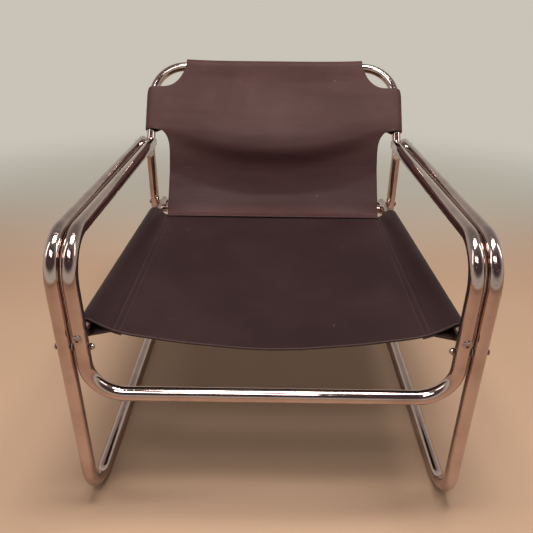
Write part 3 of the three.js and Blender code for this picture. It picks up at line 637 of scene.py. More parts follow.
# %% Two tools for measured curves
def smooth_table(pairs, flat_start=False):
    """Reads (place, value) pairs as a smooth curve that stays between neighbouring values."""
    rises = [(v2 - v1) / (p2 - p1) for (p1, v1), (p2, v2) in zip(pairs, pairs[1:])]
    middle = [0 if a * b <= 0 else 2 * a * b / (a + b) for a, b in zip(rises, rises[1:])]
    slopes = [0 if flat_start else rises[0], *middle, rises[-1]]

    def read(place):
        place = min(max(place, pairs[0][0]), pairs[-1][0])
        k = max(i for i in range(len(pairs) - 1) if pairs[i][0] <= place)
        (p1, v1), (p2, v2) = pairs[k], pairs[k + 1]
        width, s = p2 - p1, (place - p1) / (p2 - p1)
        return (v1 * (1 + 2 * s) * (1 - s) ** 2 + v2 * s * s * (3 - 2 * s)
                + width * (slopes[k] * s * (1 - s) ** 2 + slopes[k + 1] * s * s * (s - 1)))
    return read


def round_line(points, steps):
    """A rounded line through 2-D points, with that many steps between each pair."""
    curves = [smooth_table([(k, point[axis]) for k, point in enumerate(points)]) for axis in (0, 1)]
    count = (len(points) - 1) * steps
    return [tuple(curve(k / steps) for curve in curves) for k in range(count + 1)]


print("half way down a slope:", round(smooth_table([(0, 0), (1, 1)])(0.5), 3))

# %% [markdown]
# ## Leather round a tube
#
# Both sheets hold on by sleeves: the edge goes over a tube, round it and back under, and is sewn to
# the sheet itself. Seen along the tube, a sleeve is a straight that touches the circle, an arc, and
# a straight that leaves it again. The tool works that out in two dimensions, so the seat's side
# sleeves, the back's side sleeves and its top sleeve all use it.

# %% A tool for sleeves
leather = 3 * MM


def touch_angle(radius, x, y, over):
    """Where a straight from (x, y) touches a circle about the origin, over it or under it."""
    heading = math.atan2(y, x) % (2 * math.pi)
    spread = math.acos(radius / math.hypot(x, y))
    return heading - spread if over else heading + spread - 2 * math.pi


def arc(radius, start, end, steps):
    angles = [mix(start, end, k / steps) for k in range(steps + 1)]
    return [Vector((radius * math.cos(a), radius * math.sin(a))) for a in angles]


def laid_sheet(columns, rows, place_of, keep=lambda column, row: True):
    """A grid of leather. place_of gives each corner's place, and its place on the flat hide."""
    bm = bmesh.new()
    bmesh.ops.create_grid(bm, x_segments=columns, y_segments=rows, size=0.5)
    flat, cells = {}, {}
    for face in bm.faces:
        middle = face.calc_center_median()
        cells[face] = (int((middle.x + 0.5) * columns), int((middle.y + 0.5) * rows))
    for vert in bm.verts:
        column, row = round((vert.co.x + 0.5) * columns), round((vert.co.y + 0.5) * rows)
        vert.co, flat[vert] = place_of(column, row)
    spare = [face for face in bm.faces if not keep(*cells[face])]
    bmesh.ops.delete(bm, geom=spare, context="FACES")
    hide_map = bm.loops.layers.uv.new("hide")
    for face in bm.faces:
        for loop in face.loops:
            loop[hide_map].uv = flat[loop.vert]
    return bm


print("a sleeve touches at", round(math.degrees(touch_angle(1, -3, 0.8, True)), 1), "degrees")

# %% [markdown]
# ## Stitches
#
# Saddle stitching shows as a row of short slanted threads, each sunk a little into the leather. A
# stitch is a small ball stretched along the seam, of a few dozen faces because there are many
# hundreds. A row is laid along points on the leather, with the leather's own normals.

# %% A tool that sews
stitch_pitch, stitch_half_length, thread_radius, thread_slant = 4.2 * MM, 1.55 * MM, 0.42 * MM, 0.16
thread_sink = 0.3 * MM


def sew(bm, points, normals):
    """Lays stitches along a line of points, with their threads lying on the leather."""
    row = bmesh.new()
    run, due = 0.0, stitch_pitch / 2
    for a, b, normal in zip(points, points[1:], normals):
        step = (b - a).length
        while due <= run + step:
            heading = (b - a).normalized()
            place = a + heading * (due - run)
            sideways = normal.cross(heading).normalized()
            heading = (heading + thread_slant * sideways).normalized()
            upright = heading.cross(sideways).normalized()
            lie = Matrix((upright * thread_radius, upright.cross(heading) * thread_radius,
                          heading * stitch_half_length)).transposed()
            bmesh.ops.create_uvsphere(row, u_segments=6, v_segments=4, radius=1,
                                      matrix=Matrix.Translation(place) @ lie.to_4x4())
            due += stitch_pitch
        run += step
    mesh = bpy.data.meshes.new("row_of_stitches")
    row.to_mesh(mesh)
    row.free()
    bm.from_mesh(mesh)
    bpy.data.meshes.remove(mesh)


print("a stitch is", round(2 * stitch_half_length / MM, 1), "mm long")

# %% [markdown]
# ## The seat sling
#
# The seat is one sheet of 3 mm saddle leather. It hangs between the rails in a shallow bag that is
# deep at the free front edge and nearly flat at the rear. Each side goes over its rail, back under
# it, and is sewn to the sheet with two rows. The sheet is a grid: one section is worked out for
# each step backwards, as a pattern cutter would take sections through a sling.

# %% How the seat hangs
seat_front, seat_middle, seat_rear = 28 * MM, 45 * MM, 556 * MM
front_sag, rear_sag, measured_to = 70 * MM, 19.5 * MM, 0.915
tight_sleeve, loose_sleeve, front_droop = 0.8 * MM, 4 * MM, 5.5 * MM
front_drop = smooth_table([(0, 0.98), (0.15, 0.955), (0.28, 0.895), (0.5, 0.764), (0.669, 0.61),
                           (0.775, 0.5), (0.831, 0.419), (0.876, 0.325), (measured_to, 0.229)],
                          flat_start=True)
rear_drop = smooth_table([(0, 1), (0.3, 1), (0.53, 1), (0.75, 1), (measured_to, 0.98)],
                         flat_start=True)


def seat_setback(share, x):
    """How far back a point lies. The free front edge is pulled back in the middle by its sag."""
    start = mix(seat_front, seat_middle, max(0, 1 - (abs(x) / inner_x) ** 2.2))
    return mix(start, seat_rear, share)


def seat_share(setback, x):
    start = seat_setback(0, x)
    return min(max((setback - start) / (seat_rear - start), 0), 1)


def seat_sleeve(share):
    """The sleeve's centre, the radius of the leather's middle, how much the lower half hangs."""
    slack = mix(tight_sleeve, loose_sleeve, share)
    loose, angle = slack - tight_sleeve, math.radians(50)
    setback = mix(seat_front, seat_rear, share)
    centre = Vector((rail_x(setback) + loose * math.cos(angle),
                     rail_z(setback) - loose * math.sin(angle)))
    radius = light_radius + slack + leather / 2
    return centre, radius, 1 + mix(front_droop, 0, share ** 0.6) / radius


print("a sleeve is", round(2 * seat_sleeve(0)[1] / MM, 1), "mm wide in front")

# %% [markdown]
# The height at any point follows: the two measured sections, in front and at the rear, are mixed
# by how far back the point lies. Beyond the last measured point the leather runs straight up to
# where it touches its rail.

# %% The height of the seat
def seat_height(share, x):
    """Height of the leather's middle at a distance from the chair's centre line."""
    centre, radius, _ = seat_sleeve(share)

    def hang(across):
        drop = mix(front_sag * front_drop(across), rear_sag * rear_drop(across), share ** 1.6)
        return centre.y + radius - drop

    edge = measured_to * centre.x
    if abs(x) <= edge:
        return hang(abs(x) / centre.x)
    start = Vector((edge, hang(measured_to)))
    angle = touch_angle(radius, *(start - centre), True)
    end = centre + radius * Vector((math.cos(angle), math.sin(angle)))
    return mix(start.y, end.y, (abs(x) - start.x) / (end.x - start.x))


print("the seat's middle is", round(seat_height(0, 0), 4), "m up in front and",
      round(seat_height(1, 0), 4), "m at the rear")

# %% [markdown]
# One section of the seat runs from the middle to the sleeve. It has more points beside the seams,
# because a row of stitches pulls the leather into a fine groove that catches the light. After the
# arc round the rail comes the flap, which lies under the sheet and is held there by the stitches.

# %% The seat's section
FLAT_STEPS, ARC_STEPS = 16, 16
seam_groove, beside_seam, hem_margin = 0.7 * MM, 1.3 * MM, 4 * MM
outer_seam, inner_seam, flap_edge = 265 * MM, 256 * MM, 268 * MM


def seat_section(share):
    """The right half of the section: from the middle outwards, round the rail and back under."""
    centre, radius, hang = seat_sleeve(share)
    start = Vector((flap_edge, seat_height(share, flap_edge)))
    over = touch_angle(radius, *(start - centre), True)
    touch_x = centre.x + radius * math.cos(over)
    across = [(inner_seam - hem_margin) * k / FLAT_STEPS for k in range(FLAT_STEPS + 1)]
    across += [inner_seam + d for d in (-beside_seam, 0, beside_seam, 4.5 * MM)]
    across += [outer_seam + d for d in (-beside_seam, 0, beside_seam)]
    across += [mix(outer_seam + beside_seam, touch_x, k / 4) for k in (1, 2, 3)]
    grooves = {inner_seam: seam_groove, outer_seam: seam_groove}
    line = [Vector((x, seat_height(share, x) - grooves.get(x, 0))) for x in across]
    flap = [Vector((x, seat_height(share, x) - leather - touch_gap)) for x in
            (flap_edge, outer_seam, outer_seam - hem_margin, inner_seam, inner_seam - hem_margin)]
    leave = flap[0] - centre
    under = touch_angle(radius, leave.x, leave.y / hang, False)
    for point in arc(radius, over, under, ARC_STEPS):
        line.append(centre + Vector((point.x, point.y * (hang if point.y < 0 else 1))))
    return line + flap


print("the seat's section has", 2 * len(seat_section(0)) - 1, "points")

# %% [markdown]
# The sections are laid one behind another to make the whole sheet. The rows lie close together near
# the front and the rear edge, where a line has been pressed into the leather. The right half is
# worked out and the left is its mirror. The same walk along the section gives each point's place
# on the flat hide, which the grain follows later.

# %% The seat sling
MIDDLE_ROWS, CREASED_ROW = 44, 3
edge_crease, last_flat_column = 0.8 * MM, FLAT_STEPS + 10
seat_length = seat_rear - seat_front
edge_rows = [d * MM / seat_length for d in (0, 1.4, 2.6, 3.4, 4.2, 7, 12)]
seat_rows = [mix(edge_rows[-1], 1 - edge_rows[-1], k / MIDDLE_ROWS) for k in range(1, MIDDLE_ROWS)]
seat_rows = edge_rows + seat_rows + [1 - share for share in reversed(edge_rows)]
creased_rows = (CREASED_ROW, len(seat_rows) - 1 - CREASED_ROW)
sections = [seat_section(share) for share in seat_rows]
half = len(sections[0]) - 1


def seat_place(column, row):
    line = sections[row]
    side, k = (-1 if column < half else 1), abs(column - half)
    along = sum((b - a).length for a, b in zip(line[:k], line[1:k + 1]))
    crease = edge_crease if row in creased_rows and k <= last_flat_column else 0
    setback = seat_setback(seat_rows[row], line[k].x)
    place = at(side * line[k].x, setback, line[k].y - crease)
    return place, (side * along, seat_rows[row] * seat_length)


sling = laid_sheet(2 * half, len(seat_rows) - 1, seat_place)
seat_area = sum(face.calc_area() for face in sling.faces)
seat = add_piece("seat_sling", sling, "hide", "seat_leather", recalculate=False)

# %% [markdown]
# So far the leather has no thickness. Solidify gives it its 3 mm about the middle, with finishes of
# their own for the cut edge and for the flesh side, and Bevel takes the corners off the edges, as
# a leather worker does with an edge tool before burnishing.

# %% Thickness and edges of a sheet
def thicken(piece, thickness):
    """Gives a sheet its thickness, about its middle, and takes the corners off its edges."""
    solid = piece.modifiers.new("thickness", "SOLIDIFY")
    solid.thickness, solid.offset = thickness, 0
    solid.use_even_offset = True
    solid.material_offset_rim, solid.material_offset = 1, 2
    corners = piece.modifiers.new("edges", "BEVEL")
    corners.width, corners.segments, corners.limit_method = 0.7 * MM, 2, "ANGLE"
    corners.angle_limit = math.radians(50)


thicken(seat, leather)
print("the seat's leather is", round(leather / MM, 1), "mm thick")

# %% [markdown]
# Two rows of stitches run down each side, and they show above and below, because the thread goes
# through both layers. Each stitch lies along the slope of the leather at its own place.

# %% The seat's seams
seams = bmesh.new()
seam_shares = [mix(0.008, 0.992, k / 80) for k in range(81)]
seam_faces = ((1, leather / 2 - thread_sink), (-1, 1.5 * leather + touch_gap))
for side in (-1, 1):
    for x in (outer_seam, inner_seam):
        for face, lift in seam_faces:
            line, normals = [], []
            for share in seam_shares:
                slope = (seat_height(share, x + MM) - seat_height(share, x - MM)) / (2 * MM)
                normal = Vector((-side * slope, 0, 1)).normalized() * face
                on_seat = at(side * x, seat_setback(share, x), seat_height(share, x))
                line.append(on_seat + normal * lift)
                normals.append(normal)
            sew(seams, line, normals)
seat_seams = add_piece("seat_seams", seams, "hide")
print("seat seams have", len(seat_seams.data.polygons), "faces")

# %% [markdown]
# ## The back sling
#
# The back is a second sheet. Its foot laps over the seat's rear edge, its sides are cut in below
# the arms, and sleeves at the sides and the top hold it on the back frame. Years of sitting have
# pushed a hollow into it: a smile-shaped crease, above which the leather leans back and below which
# it is nearly upright. The sheet is again a grid, made of rows from the lap to the top.

# %% The back's edge line, seen from the side
back_panel = 2.7 * MM
back_foot_width, back_top_width = 263 * MM, 226 * MM
sleeve_foot, back_top = 549 * MM, knee_height + back_rise
fold, cut_height, lap = 9 * MM, 50 * MM, 13 * MM
LAP_ROWS, FOLD_STEPS, LOWER_STEPS, SLEEVE_STEPS = 6, 6, 24, 14
lean_away = Vector((math.sin(back_lean), math.cos(back_lean)))
lean_front = Vector((-math.cos(back_lean), math.sin(back_lean)))
sleeve_radius = light_radius + 1.4 * MM + leather / 2


def post_axis(height):
    return Vector((post_setback + (height - knee_height) * math.tan(back_lean), height))


def panel_front(height):
    return post_axis(height) + lean_front * sleeve_radius


lap_height = seat_height(1, back_foot_width) + leather / 2 + 2 * touch_gap + back_panel / 2
bend_start = back_top - back_corner * math.cos(back_lean)
sleeve_top = bend_start + back_corner * math.sin(math.radians(14)) * math.cos(back_lean)
lap_front = Vector((seat_rear - lap, lap_height))
lap_turn = Vector((seat_rear + 3 * MM, lap_height))
foot = panel_front(sleeve_foot)
climb = (foot - lap_turn).normalized()
turn = math.atan2(climb.y, climb.x)
print("the back rises from", round(lap_height, 4), "to", round(back_top, 4), "m")

# %% [markdown]
# The sheet's rows climb that line. Each is a half width and a place: first the lap on the seat and
# the fold that turns it up, then the straight lower panel, the round cut below the side sleeves,
# the sleeves, and the round cut above them.

# %% The rows of the back
# the lap on the seat, and the fold that turns it up
rows = [(back_foot_width, lap_front + Vector((d * MM, 0))) for d in (0, 1.4, 3.2, 4, 4.8, 7)]
fold_centre = lap_turn + Vector((-fold * math.tan(turn / 2), fold))
for k in range(FOLD_STEPS + 1):
    angle = turn * k / FOLD_STEPS
    rows.append((back_foot_width, fold_centre + fold * Vector((math.sin(angle), -math.cos(angle)))))
# the straight lower panel, and the round cut below the side sleeves
fold_end = rows[-1][1]
cut_start = lap_turn + climb * ((foot - lap_turn).length - cut_height / climb.y)
rows += [(back_foot_width, fold_end.lerp(cut_start, k / LOWER_STEPS))
         for k in range(1, LOWER_STEPS)]
lower_cut = round_line([(0, 1), (0.03, 0.68), (0.12, 0.38), (0.26, 0.18), (0.46, 0.05), (1, 0)], 3)
for width, height in lower_cut:
    rows.append((mix(back_foot_width, post_x, width), foot - climb * height * cut_height / climb.y))
# the side sleeves, and the round cut above them
first_sleeve_row = len(rows) - 1
rows += [(post_x, panel_front(mix(sleeve_foot, sleeve_top, k / SLEEVE_STEPS)))
         for k in range(1, SLEEVE_STEPS)]
last_sleeve_row = len(rows)
upper_cut = round_line([(1, 0), (0.62, 0.03), (0.4, 0.14), (0.2, 0.4), (0.07, 0.72), (0, 1)], 3)
for width, height in upper_cut:
    place = panel_front(mix(sleeve_top, back_top, height))
    rows.append((mix(back_top_width, post_x, width), place))
last_panel_row = len(rows) - 1
print("back has", len(rows), "rows, its sleeves rows", first_sleeve_row, "to", last_sleeve_row)

# %% [markdown]
# The hollow is read from a table of how far the leather's middle line stands behind the straight
# line between its edges. Towards the sides the same profile is read lower down, which lifts the
# crease there and draws the smile.

# %% The back's hollow
hollow = smooth_table([(0, 0), (0.04, 0.33), (0.1, 0.74), (0.155, 0.93), (0.2, 0.92), (0.28, 0.83),
                       (0.34, 0.7), (0.45, 0.14), (0.51, 0.12), (0.6, 0.21), (0.75, 0.32),
                       (0.88, 0.26), (1, 0)])
hollow_depth, soft_bend, soft_bend_reach, smile = 36 * MM, 2.1 * MM, 50 * MM, 0.1
top_seam_reach, narrow_up_to = 223 * MM, 470 * MM
reach = panel_front(back_top).y - lap_height


def smooth_step(low, high, value):
    share = min(max((value - low) / (high - low), 0), 1)
    return share * share * (3 - 2 * share)


def back_sag(x, height):
    """How far the leather stands behind its edge line, at a place on the panel."""
    half_width = mix(back_foot_width, post_x, smooth_step(narrow_up_to, sleeve_foot, height))
    across = min(abs(x) / half_width, 1)
    share = (height - lap_height) / reach
    # the smile: towards the sides the profile is read lower down
    lift = smile * (x / top_seam_reach) ** 2 * smooth_step(0.02, 0.25, share)
    lift *= 1 - smooth_step(0.6, 0.95, share)
    # where the side sleeves begin the edge line has a corner, which the leather rounds
    rounding = soft_bend * max(0, 1 - abs(height - foot.y) / soft_bend_reach) ** 2
    # low down the side edges are free, so part of the hollow runs out through them
    free = 0.4 * smooth_step(0.03, 0.2, share) * (1 - smooth_step(0.3, 0.5, share))
    depth = hollow_depth * hollow(max(share - lift, 0)) + rounding
    return depth * (1 - across ** 2.6 * (1 - free))


def facing(height):
    """Which way the back faces above its fold: forwards at first, then back with the posts."""
    leant = smooth_step(foot.y - 90 * MM, foot.y + 60 * MM, height)
    angle = mix(turn, math.pi / 2 - back_lean, leant)
    return Vector((-math.sin(angle), math.cos(angle)))


def row_normal(k):
    if k < LAP_ROWS:
        return Vector((0, 1))
    if k <= LAP_ROWS + FOLD_STEPS:
        angle = turn * (k - LAP_ROWS) / FOLD_STEPS
        return Vector((-math.sin(angle), math.cos(angle)))
    return facing(rows[k][1].y)


row_normals = [row_normal(k) for k in range(len(rows))]
row_run = [0.0]
for (_, a), (_, b) in zip(rows, rows[1:]):
    row_run.append(row_run[-1] + (b - a).length)
print("the hollow is", round(back_sag(0, 0.434) / MM, 1), "mm at its deepest")

# %% [markdown]
# The grid's middle columns are the panel. The columns beyond them on either side wrap round the
# posts, and only the rows between the two round cuts keep them. The rows above the panel go over
# the top bar. Every flap ends behind the panel, where it follows the hollow in the leather.

# %% The panel and its side sleeves
FLAP_REACH = (31, 34, 38, 42, 46)
PANEL, TURNED = 56, 15
WRAP = TURNED + len(FLAP_REACH)


def panel_place(x, row):
    place = rows[row][1]
    point = place - row_normals[row] * back_sag(x, place.y)
    groove = 0.4 * MM if row == CREASED_ROW else 0
    return at(x, point.x, point.y - groove)


def side_sleeve(row, k):
    """A point of the side sleeve: where the post is, the point about it, its run of leather."""
    height = rows[row][1].y - sleeve_radius * lean_front.y
    into_bend = min(max((height - bend_start) / math.cos(back_lean) / back_corner, 0), 0.9)
    axis_x = post_x - back_corner * (1 - math.cos(math.asin(into_bend)))
    sags = [back_sag(axis_x - d * MM, rows[row][1].y) for d in FLAP_REACH]
    flap = [Vector((-d * MM, sleeve_radius - sag - back_panel)) for d, sag in zip(FLAP_REACH, sags)]
    under = touch_angle(sleeve_radius, *flap[0], False)
    turned = arc(sleeve_radius, math.pi / 2, under, TURNED)
    run = sleeve_radius * (math.pi / 2 - under) * min(k, TURNED) / TURNED
    if k > TURNED:
        run += (flap[k - TURNED - 1] - turned[-1]).length
    return axis_x, (turned + flap)[k], run


print("a side sleeve takes", round(side_sleeve(first_sleeve_row, WRAP)[2], 3), "m of leather")

# %% [markdown]
# Now the sheet itself. Each corner of the grid is asked where it belongs: on the panel, in a side
# sleeve or in the top sleeve. A side sleeve isn't quite square, because the pull of the panel draws
# its ends together, and the top sleeve flares a little at its open ends.

# %% The back sling
end_flare, sleeve_pinch = 3.5 * MM, 0.035


def cap_place(column, row):
    """The top sleeve: over the bar, down behind it and on to the panel's back."""
    share = min(max(2 * (column - WRAP) / PANEL - 1, -1), 1)
    x, k = share * back_top_width, row - last_panel_row
    flare = end_flare * abs(share) ** 4
    sags = [back_sag(x, back_top - d * MM * lean_away.y) for d in FLAP_REACH]
    flap = [Vector((-d * MM, sleeve_radius - back_panel - sag)) for d, sag in zip(FLAP_REACH, sags)]
    under = touch_angle(sleeve_radius, *flap[0], False)
    turned = [point * (1 + flare / sleeve_radius * max(point.x, 0) / sleeve_radius)
              for point in arc(sleeve_radius, math.pi / 2, under, TURNED)]
    line = turned + flap
    run = sum((b - a).length for a, b in zip(line[:k], line[1:k + 1]))
    bar = Vector((post_setback + back_run, back_top))
    place = bar + lean_away * line[k].x + lean_front * line[k].y
    return at(x, place.x, place.y), (x, row_run[-1] + run)


def back_place(column, row):
    wrap = WRAP - column if column < WRAP else column - WRAP - PANEL
    side = -1 if column < WRAP + PANEL / 2 else 1
    if row > last_panel_row:
        return cap_place(column, row)
    if wrap > 0:
        if not first_sleeve_row <= row <= last_sleeve_row:
            return at(0, 0, 0), (0, 0)
        axis_x, point, run = side_sleeve(row, wrap)
        height = rows[row][1].y - sleeve_radius * lean_front.y
        outward = max(point.x / sleeve_radius, 0) ** 2
        pinch = ((sleeve_foot + sleeve_top) / 2 - rows[row][1].y) * sleeve_pinch * outward
        place = post_axis(height) + lean_front * point.y + lean_away * pinch
        on_sleeve = at(side * (axis_x + point.x), place.x, place.y)
        return on_sleeve, (side * (axis_x + run), row_run[row])
    share = 2 * (column - WRAP) / PANEL - 1
    width = rows[row][0]
    if first_sleeve_row <= row <= last_sleeve_row:
        width = side_sleeve(row, 0)[0]
    return panel_place(share * width, row), (share * width, row_run[row])


def back_keeps(column, row):
    return WRAP <= column < WRAP + PANEL or first_sleeve_row <= row < last_sleeve_row


last_row = last_panel_row + WRAP
sheet = laid_sheet(PANEL + 2 * WRAP, last_row, back_place, back_keeps)
back_area = sum(face.calc_area() for face in sheet.faces)
back_sheet = add_piece("back_sling", sheet, "hide", "back_leather", recalculate=False)
thicken(back_sheet, back_panel)
sleeve_run = side_sleeve(first_sleeve_row, WRAP)[2]
back_cut_width = 2 * side_sleeve(first_sleeve_row, 0)[0] + 2 * sleeve_run
back_cut_length = cap_place(WRAP, last_row)[1][1]
print("cut", round(back_cut_width, 3), "by", round(back_cut_length, 3), "m, area",
      round(back_area, 4))

# %% [markdown]
# The back is sewn like the seat: two rows beside each post and two along the top, seen in front and
# behind, and one row through the lap at the foot. The reach of each row stops short of the cut
# edges, as a saddler would stop it.

# %% The back's seams
def on_back(x, height, lift):
    """A point and the leather's direction on the upper back, in front of it or behind."""
    away = facing(height) * (back_sag(x, height) - lift)
    place = panel_front(height - sleeve_radius * lean_front.y) - away
    return at(x, place.x, place.y), Vector((0, *facing(height))) * math.copysign(1, lift)


def evenly(reach, steps):
    return [mix(-reach, reach, k / steps) for k in range(steps + 1)]


back_seams = bmesh.new()
front_lift, rear_lift = back_panel / 2 - thread_sink, -1.5 * back_panel + thread_sink
hem, hem_sink = seat_rear - 9 * MM, 0.4 * MM
hem_reach, under_reach = 257 * MM, 246 * MM
line = [at(x, hem, lap_height + front_lift - hem_sink) for x in evenly(hem_reach, 60)]
sew(back_seams, line, [Vector((0, 0, 1))] * len(line))
line = [at(x, hem, seat_height(seat_share(hem, x), x) - leather / 2 + thread_sink)
        for x in evenly(under_reach, 60)]
sew(back_seams, line, [Vector((0, 0, -1))] * len(line))
low, high = rows[first_sleeve_row][1].y + 5 * MM, rows[last_sleeve_row][1].y - 5 * MM
for inset in (34 * MM, 42 * MM):
    for lift in (front_lift, rear_lift):
        for x in (inset - post_x, post_x - inset):
            sew(back_seams, *zip(*[on_back(x, mix(low, high, k / 24), lift) for k in range(25)]))
        level_with = rows[last_panel_row][1].y - inset * lean_away.y
        sew(back_seams, *zip(*[on_back(x, level_with, lift) for x in evenly(top_seam_reach, 48)]))
back_sewing = add_piece("back_seams", back_seams, "hide")
print("back seams have", len(back_sewing.data.polygons), "faces")

# %% [markdown]
# A sheet of leather is cut from a flat hide, so each sheet's area is summed above, and the back's
# width and length laid flat are printed. Both are stretched over the tubes that they rest on.

# %% [markdown]
# ## Finishes
#
# A finish is a small network of nodes. Effects that several finishes share are made once, as node
# groups: leather grain, the marks of handling, and the fine scratches of polished metal. A group
# only hands over masks and heights; the shader itself stays in the material.

# %% Tools for nodes
def give(tree, socket, value):
    """Feeds an input: from another node's socket, or with a value. A colour is three numbers."""
    if isinstance(value, bpy.types.NodeSocket):
        tree.links.new(value, socket)
    else:
        socket.default_value = (*value, 1) if socket.type == "RGBA" else value


def node(tree, kind, inputs=None, **settings):
    made = tree.nodes.new(kind)
    for name, value in settings.items():
        setattr(made, name, value)
    for name, value in (inputs or {}).items():
        give(tree, made.inputs[name], value)
    return made


def maths(tree, operation, *values):
    return node(tree, "ShaderNodeMath", dict(enumerate(values)), operation=operation).outputs[0]


def ramp(tree, value, low, high, start=0.0, end=1.0):
    """Spreads a range of values between two others, smoothly, and stops at its ends."""
    spans = {"Value": value, "From Min": low, "From Max": high, "To Min": start, "To Max": end}
    made = node(tree, "ShaderNodeMapRange", spans, interpolation_type="SMOOTHSTEP")
    return made.outputs["Result"]


def between(tree, value, rise, fall, strength=1.0):
    """A mask that rises over one span of a value and falls again over another."""
    rising = ramp(tree, value, *rise)
    return maths(tree, "MULTIPLY", rising, ramp(tree, value, *fall, strength, 0.0))


def blend(tree, share, first, second):
    """Mixes two colours by a mask."""
    made = node(tree, "ShaderNodeMix", {0: share, 6: first, 7: second}, data_type="RGBA")
    return made.outputs[2]


def noise(tree, place, scale, detail=2.0, rough=0.5, distortion=0.0):
    return node(tree, "ShaderNodeTexNoise",
                {"Vector": place, "Scale": scale, "Detail": detail, "Roughness": rough,
                 "Distortion": distortion}).outputs[0]


def stretched(tree, place, scale, turned=(0, 0, 0)):
    return node(tree, "ShaderNodeMapping",
                {"Vector": place, "Scale": scale, "Rotation": turned}).outputs[0]


print("node tools ready")

# %% [markdown]
# An effect that several finishes use becomes a node group with named inputs and outputs, in the way
# a workshop keeps one jig for many parts. It hands over plain values, and no shader.

# %% Shared effects
def start_effect(name, inputs, outputs):
    """An empty node group with a place input, named values and named masks."""
    tree = bpy.data.node_groups.new(name, "ShaderNodeTree")
    tree.interface.new_socket("Place", in_out="INPUT", socket_type="NodeSocketVector")
    for label, value in inputs.items():
        made = tree.interface.new_socket(label, in_out="INPUT", socket_type="NodeSocketFloat")
        made.default_value = value
    for label in outputs:
        tree.interface.new_socket(label, in_out="OUTPUT", socket_type="NodeSocketFloat")
    return tree, node(tree, "NodeGroupInput").outputs, node(tree, "NodeGroupOutput").inputs


print("effects can be shared")

# %% [markdown]
# Tanned hide has a grain of small irregular cells, about a millimetre across, with fine pores in
# them. Voronoi cells give the net of creases, and a much finer noise roughens what is between.

# %% The grain of leather
cells_per_metre, cell_wander = 850.0, 0.0012
grain, given, handed = start_effect("leather grain", {"Cells per metre": cells_per_metre},
                                    ["Height", "Tone"])
bent = node(grain, "ShaderNodeVectorMath", {0: given["Place"]}, operation="ADD")
wander = node(grain, "ShaderNodeTexNoise",
              {"Vector": given["Place"], "Scale": 240.0, "Detail": 1.0})
shift = node(grain, "ShaderNodeVectorMath", {0: wander.outputs[1], "Scale": cell_wander},
             operation="SCALE")
grain.links.new(shift.outputs[0], bent.inputs[1])
cells = node(grain, "ShaderNodeTexVoronoi",
             {"Vector": bent.outputs[0], "Scale": given["Cells per metre"]},
             feature="DISTANCE_TO_EDGE")
plateau = ramp(grain, cells.outputs["Distance"], 0.0, 0.22)
pores = noise(grain, given["Place"], 2600.0, 3.0, 0.6)
height = maths(grain, "MULTIPLY_ADD", plateau, 0.7, maths(grain, "MULTIPLY", pores, 0.3))
grain.links.new(height, handed["Height"])
tone = maths(grain, "MULTIPLY_ADD", plateau, 0.5, maths(grain, "MULTIPLY", pores, 0.5))
grain.links.new(tone, handed["Tone"])
print("grain cells are about", round(1000 / cells_per_metre, 2), "mm")

# %% [markdown]
# A used hide isn't one colour. Broad patches have darkened or dried, thin pale scratches cross it,
# and a few specks of dust or scuffed finish catch the light. These masks stay faint, because what
# shows first on this chair is a smooth, matt, even hide.

# %% The marks of handling
handling, given, handed = start_effect("handling marks", {"Amount": 1.0},
                                       ["Patches", "Scuffs", "Specks"])
place = given["Place"]
broad = ramp(handling, noise(handling, place, 5.5, 4.0, 0.55, 0.4), 0.32, 0.7)
handling.links.new(broad, handed["Patches"])
lines = []
for turned, where in (((0.3, 0.2, 0.5), 3.1), ((1.1, -0.4, 2.2), 4.7)):
    hair = noise(handling, stretched(handling, place, (16, 700, 16), turned), 1.0, 2.0)
    only = ramp(handling, noise(handling, place, where, 2.0), 0.56, 0.68)
    lines.append(maths(handling, "MULTIPLY", ramp(handling, hair, 0.7, 0.78), only))
scuffs = maths(handling, "MULTIPLY", maths(handling, "MAXIMUM", *lines), given["Amount"])
handling.links.new(scuffs, handed["Scuffs"])
dots = node(handling, "ShaderNodeTexVoronoi", {"Vector": place, "Scale": 17.0, "Randomness": 1.0})
small = ramp(handling, dots.outputs["Distance"], 0.016, 0.034, 1.0, 0.0)
few = node(handling, "ShaderNodeSeparateColor", {0: dots.outputs["Color"]})
specks = maths(handling, "MULTIPLY", small, maths(handling, "GREATER_THAN", few.outputs[0], 0.6))
handling.links.new(maths(handling, "MULTIPLY", specks, given["Amount"]), handed["Specks"])
print("handling masks: patches, scuffs, specks")

# %% [markdown]
# Chrome that has been wiped for decades carries hairlines in every direction and a few pits where
# the plate has begun to lift. The hairlines only show in the highlights, so they work through the
# roughness, and the pits are dull and brown.

# %% The marks of polishing
polish, given, handed = start_effect("polish marks", {"Amount": 1.0}, ["Hairlines", "Pits", "Film"])
place = given["Place"]
hairs = []
for turned in ((0.2, 0.9, 0.1), (1.3, 0.3, 0.8), (0.6, -0.7, 1.9)):
    hair = noise(polish, stretched(polish, place, (30, 1900, 30), turned), 1.0, 1.0)
    hairs.append(ramp(polish, hair, 0.64, 0.76))
lines = maths(polish, "MAXIMUM", maths(polish, "MAXIMUM", hairs[0], hairs[1]), hairs[2])
polish.links.new(maths(polish, "MULTIPLY", lines, given["Amount"]), handed["Hairlines"])
dots = node(polish, "ShaderNodeTexVoronoi", {"Vector": place, "Scale": 260.0})
few = ramp(polish, noise(polish, place, 9.0, 3.0, 0.6), 0.55, 0.68)
pits = maths(polish, "MULTIPLY", ramp(polish, dots.outputs["Distance"], 0.1, 0.22, 1.0, 0.0), few)
polish.links.new(maths(polish, "MULTIPLY", pits, given["Amount"]), handed["Pits"])
polish.links.new(ramp(polish, noise(polish, place, 14.0, 4.0, 0.6), 0.35, 0.75), handed["Film"])
print("polish masks: hairlines, pits, film")

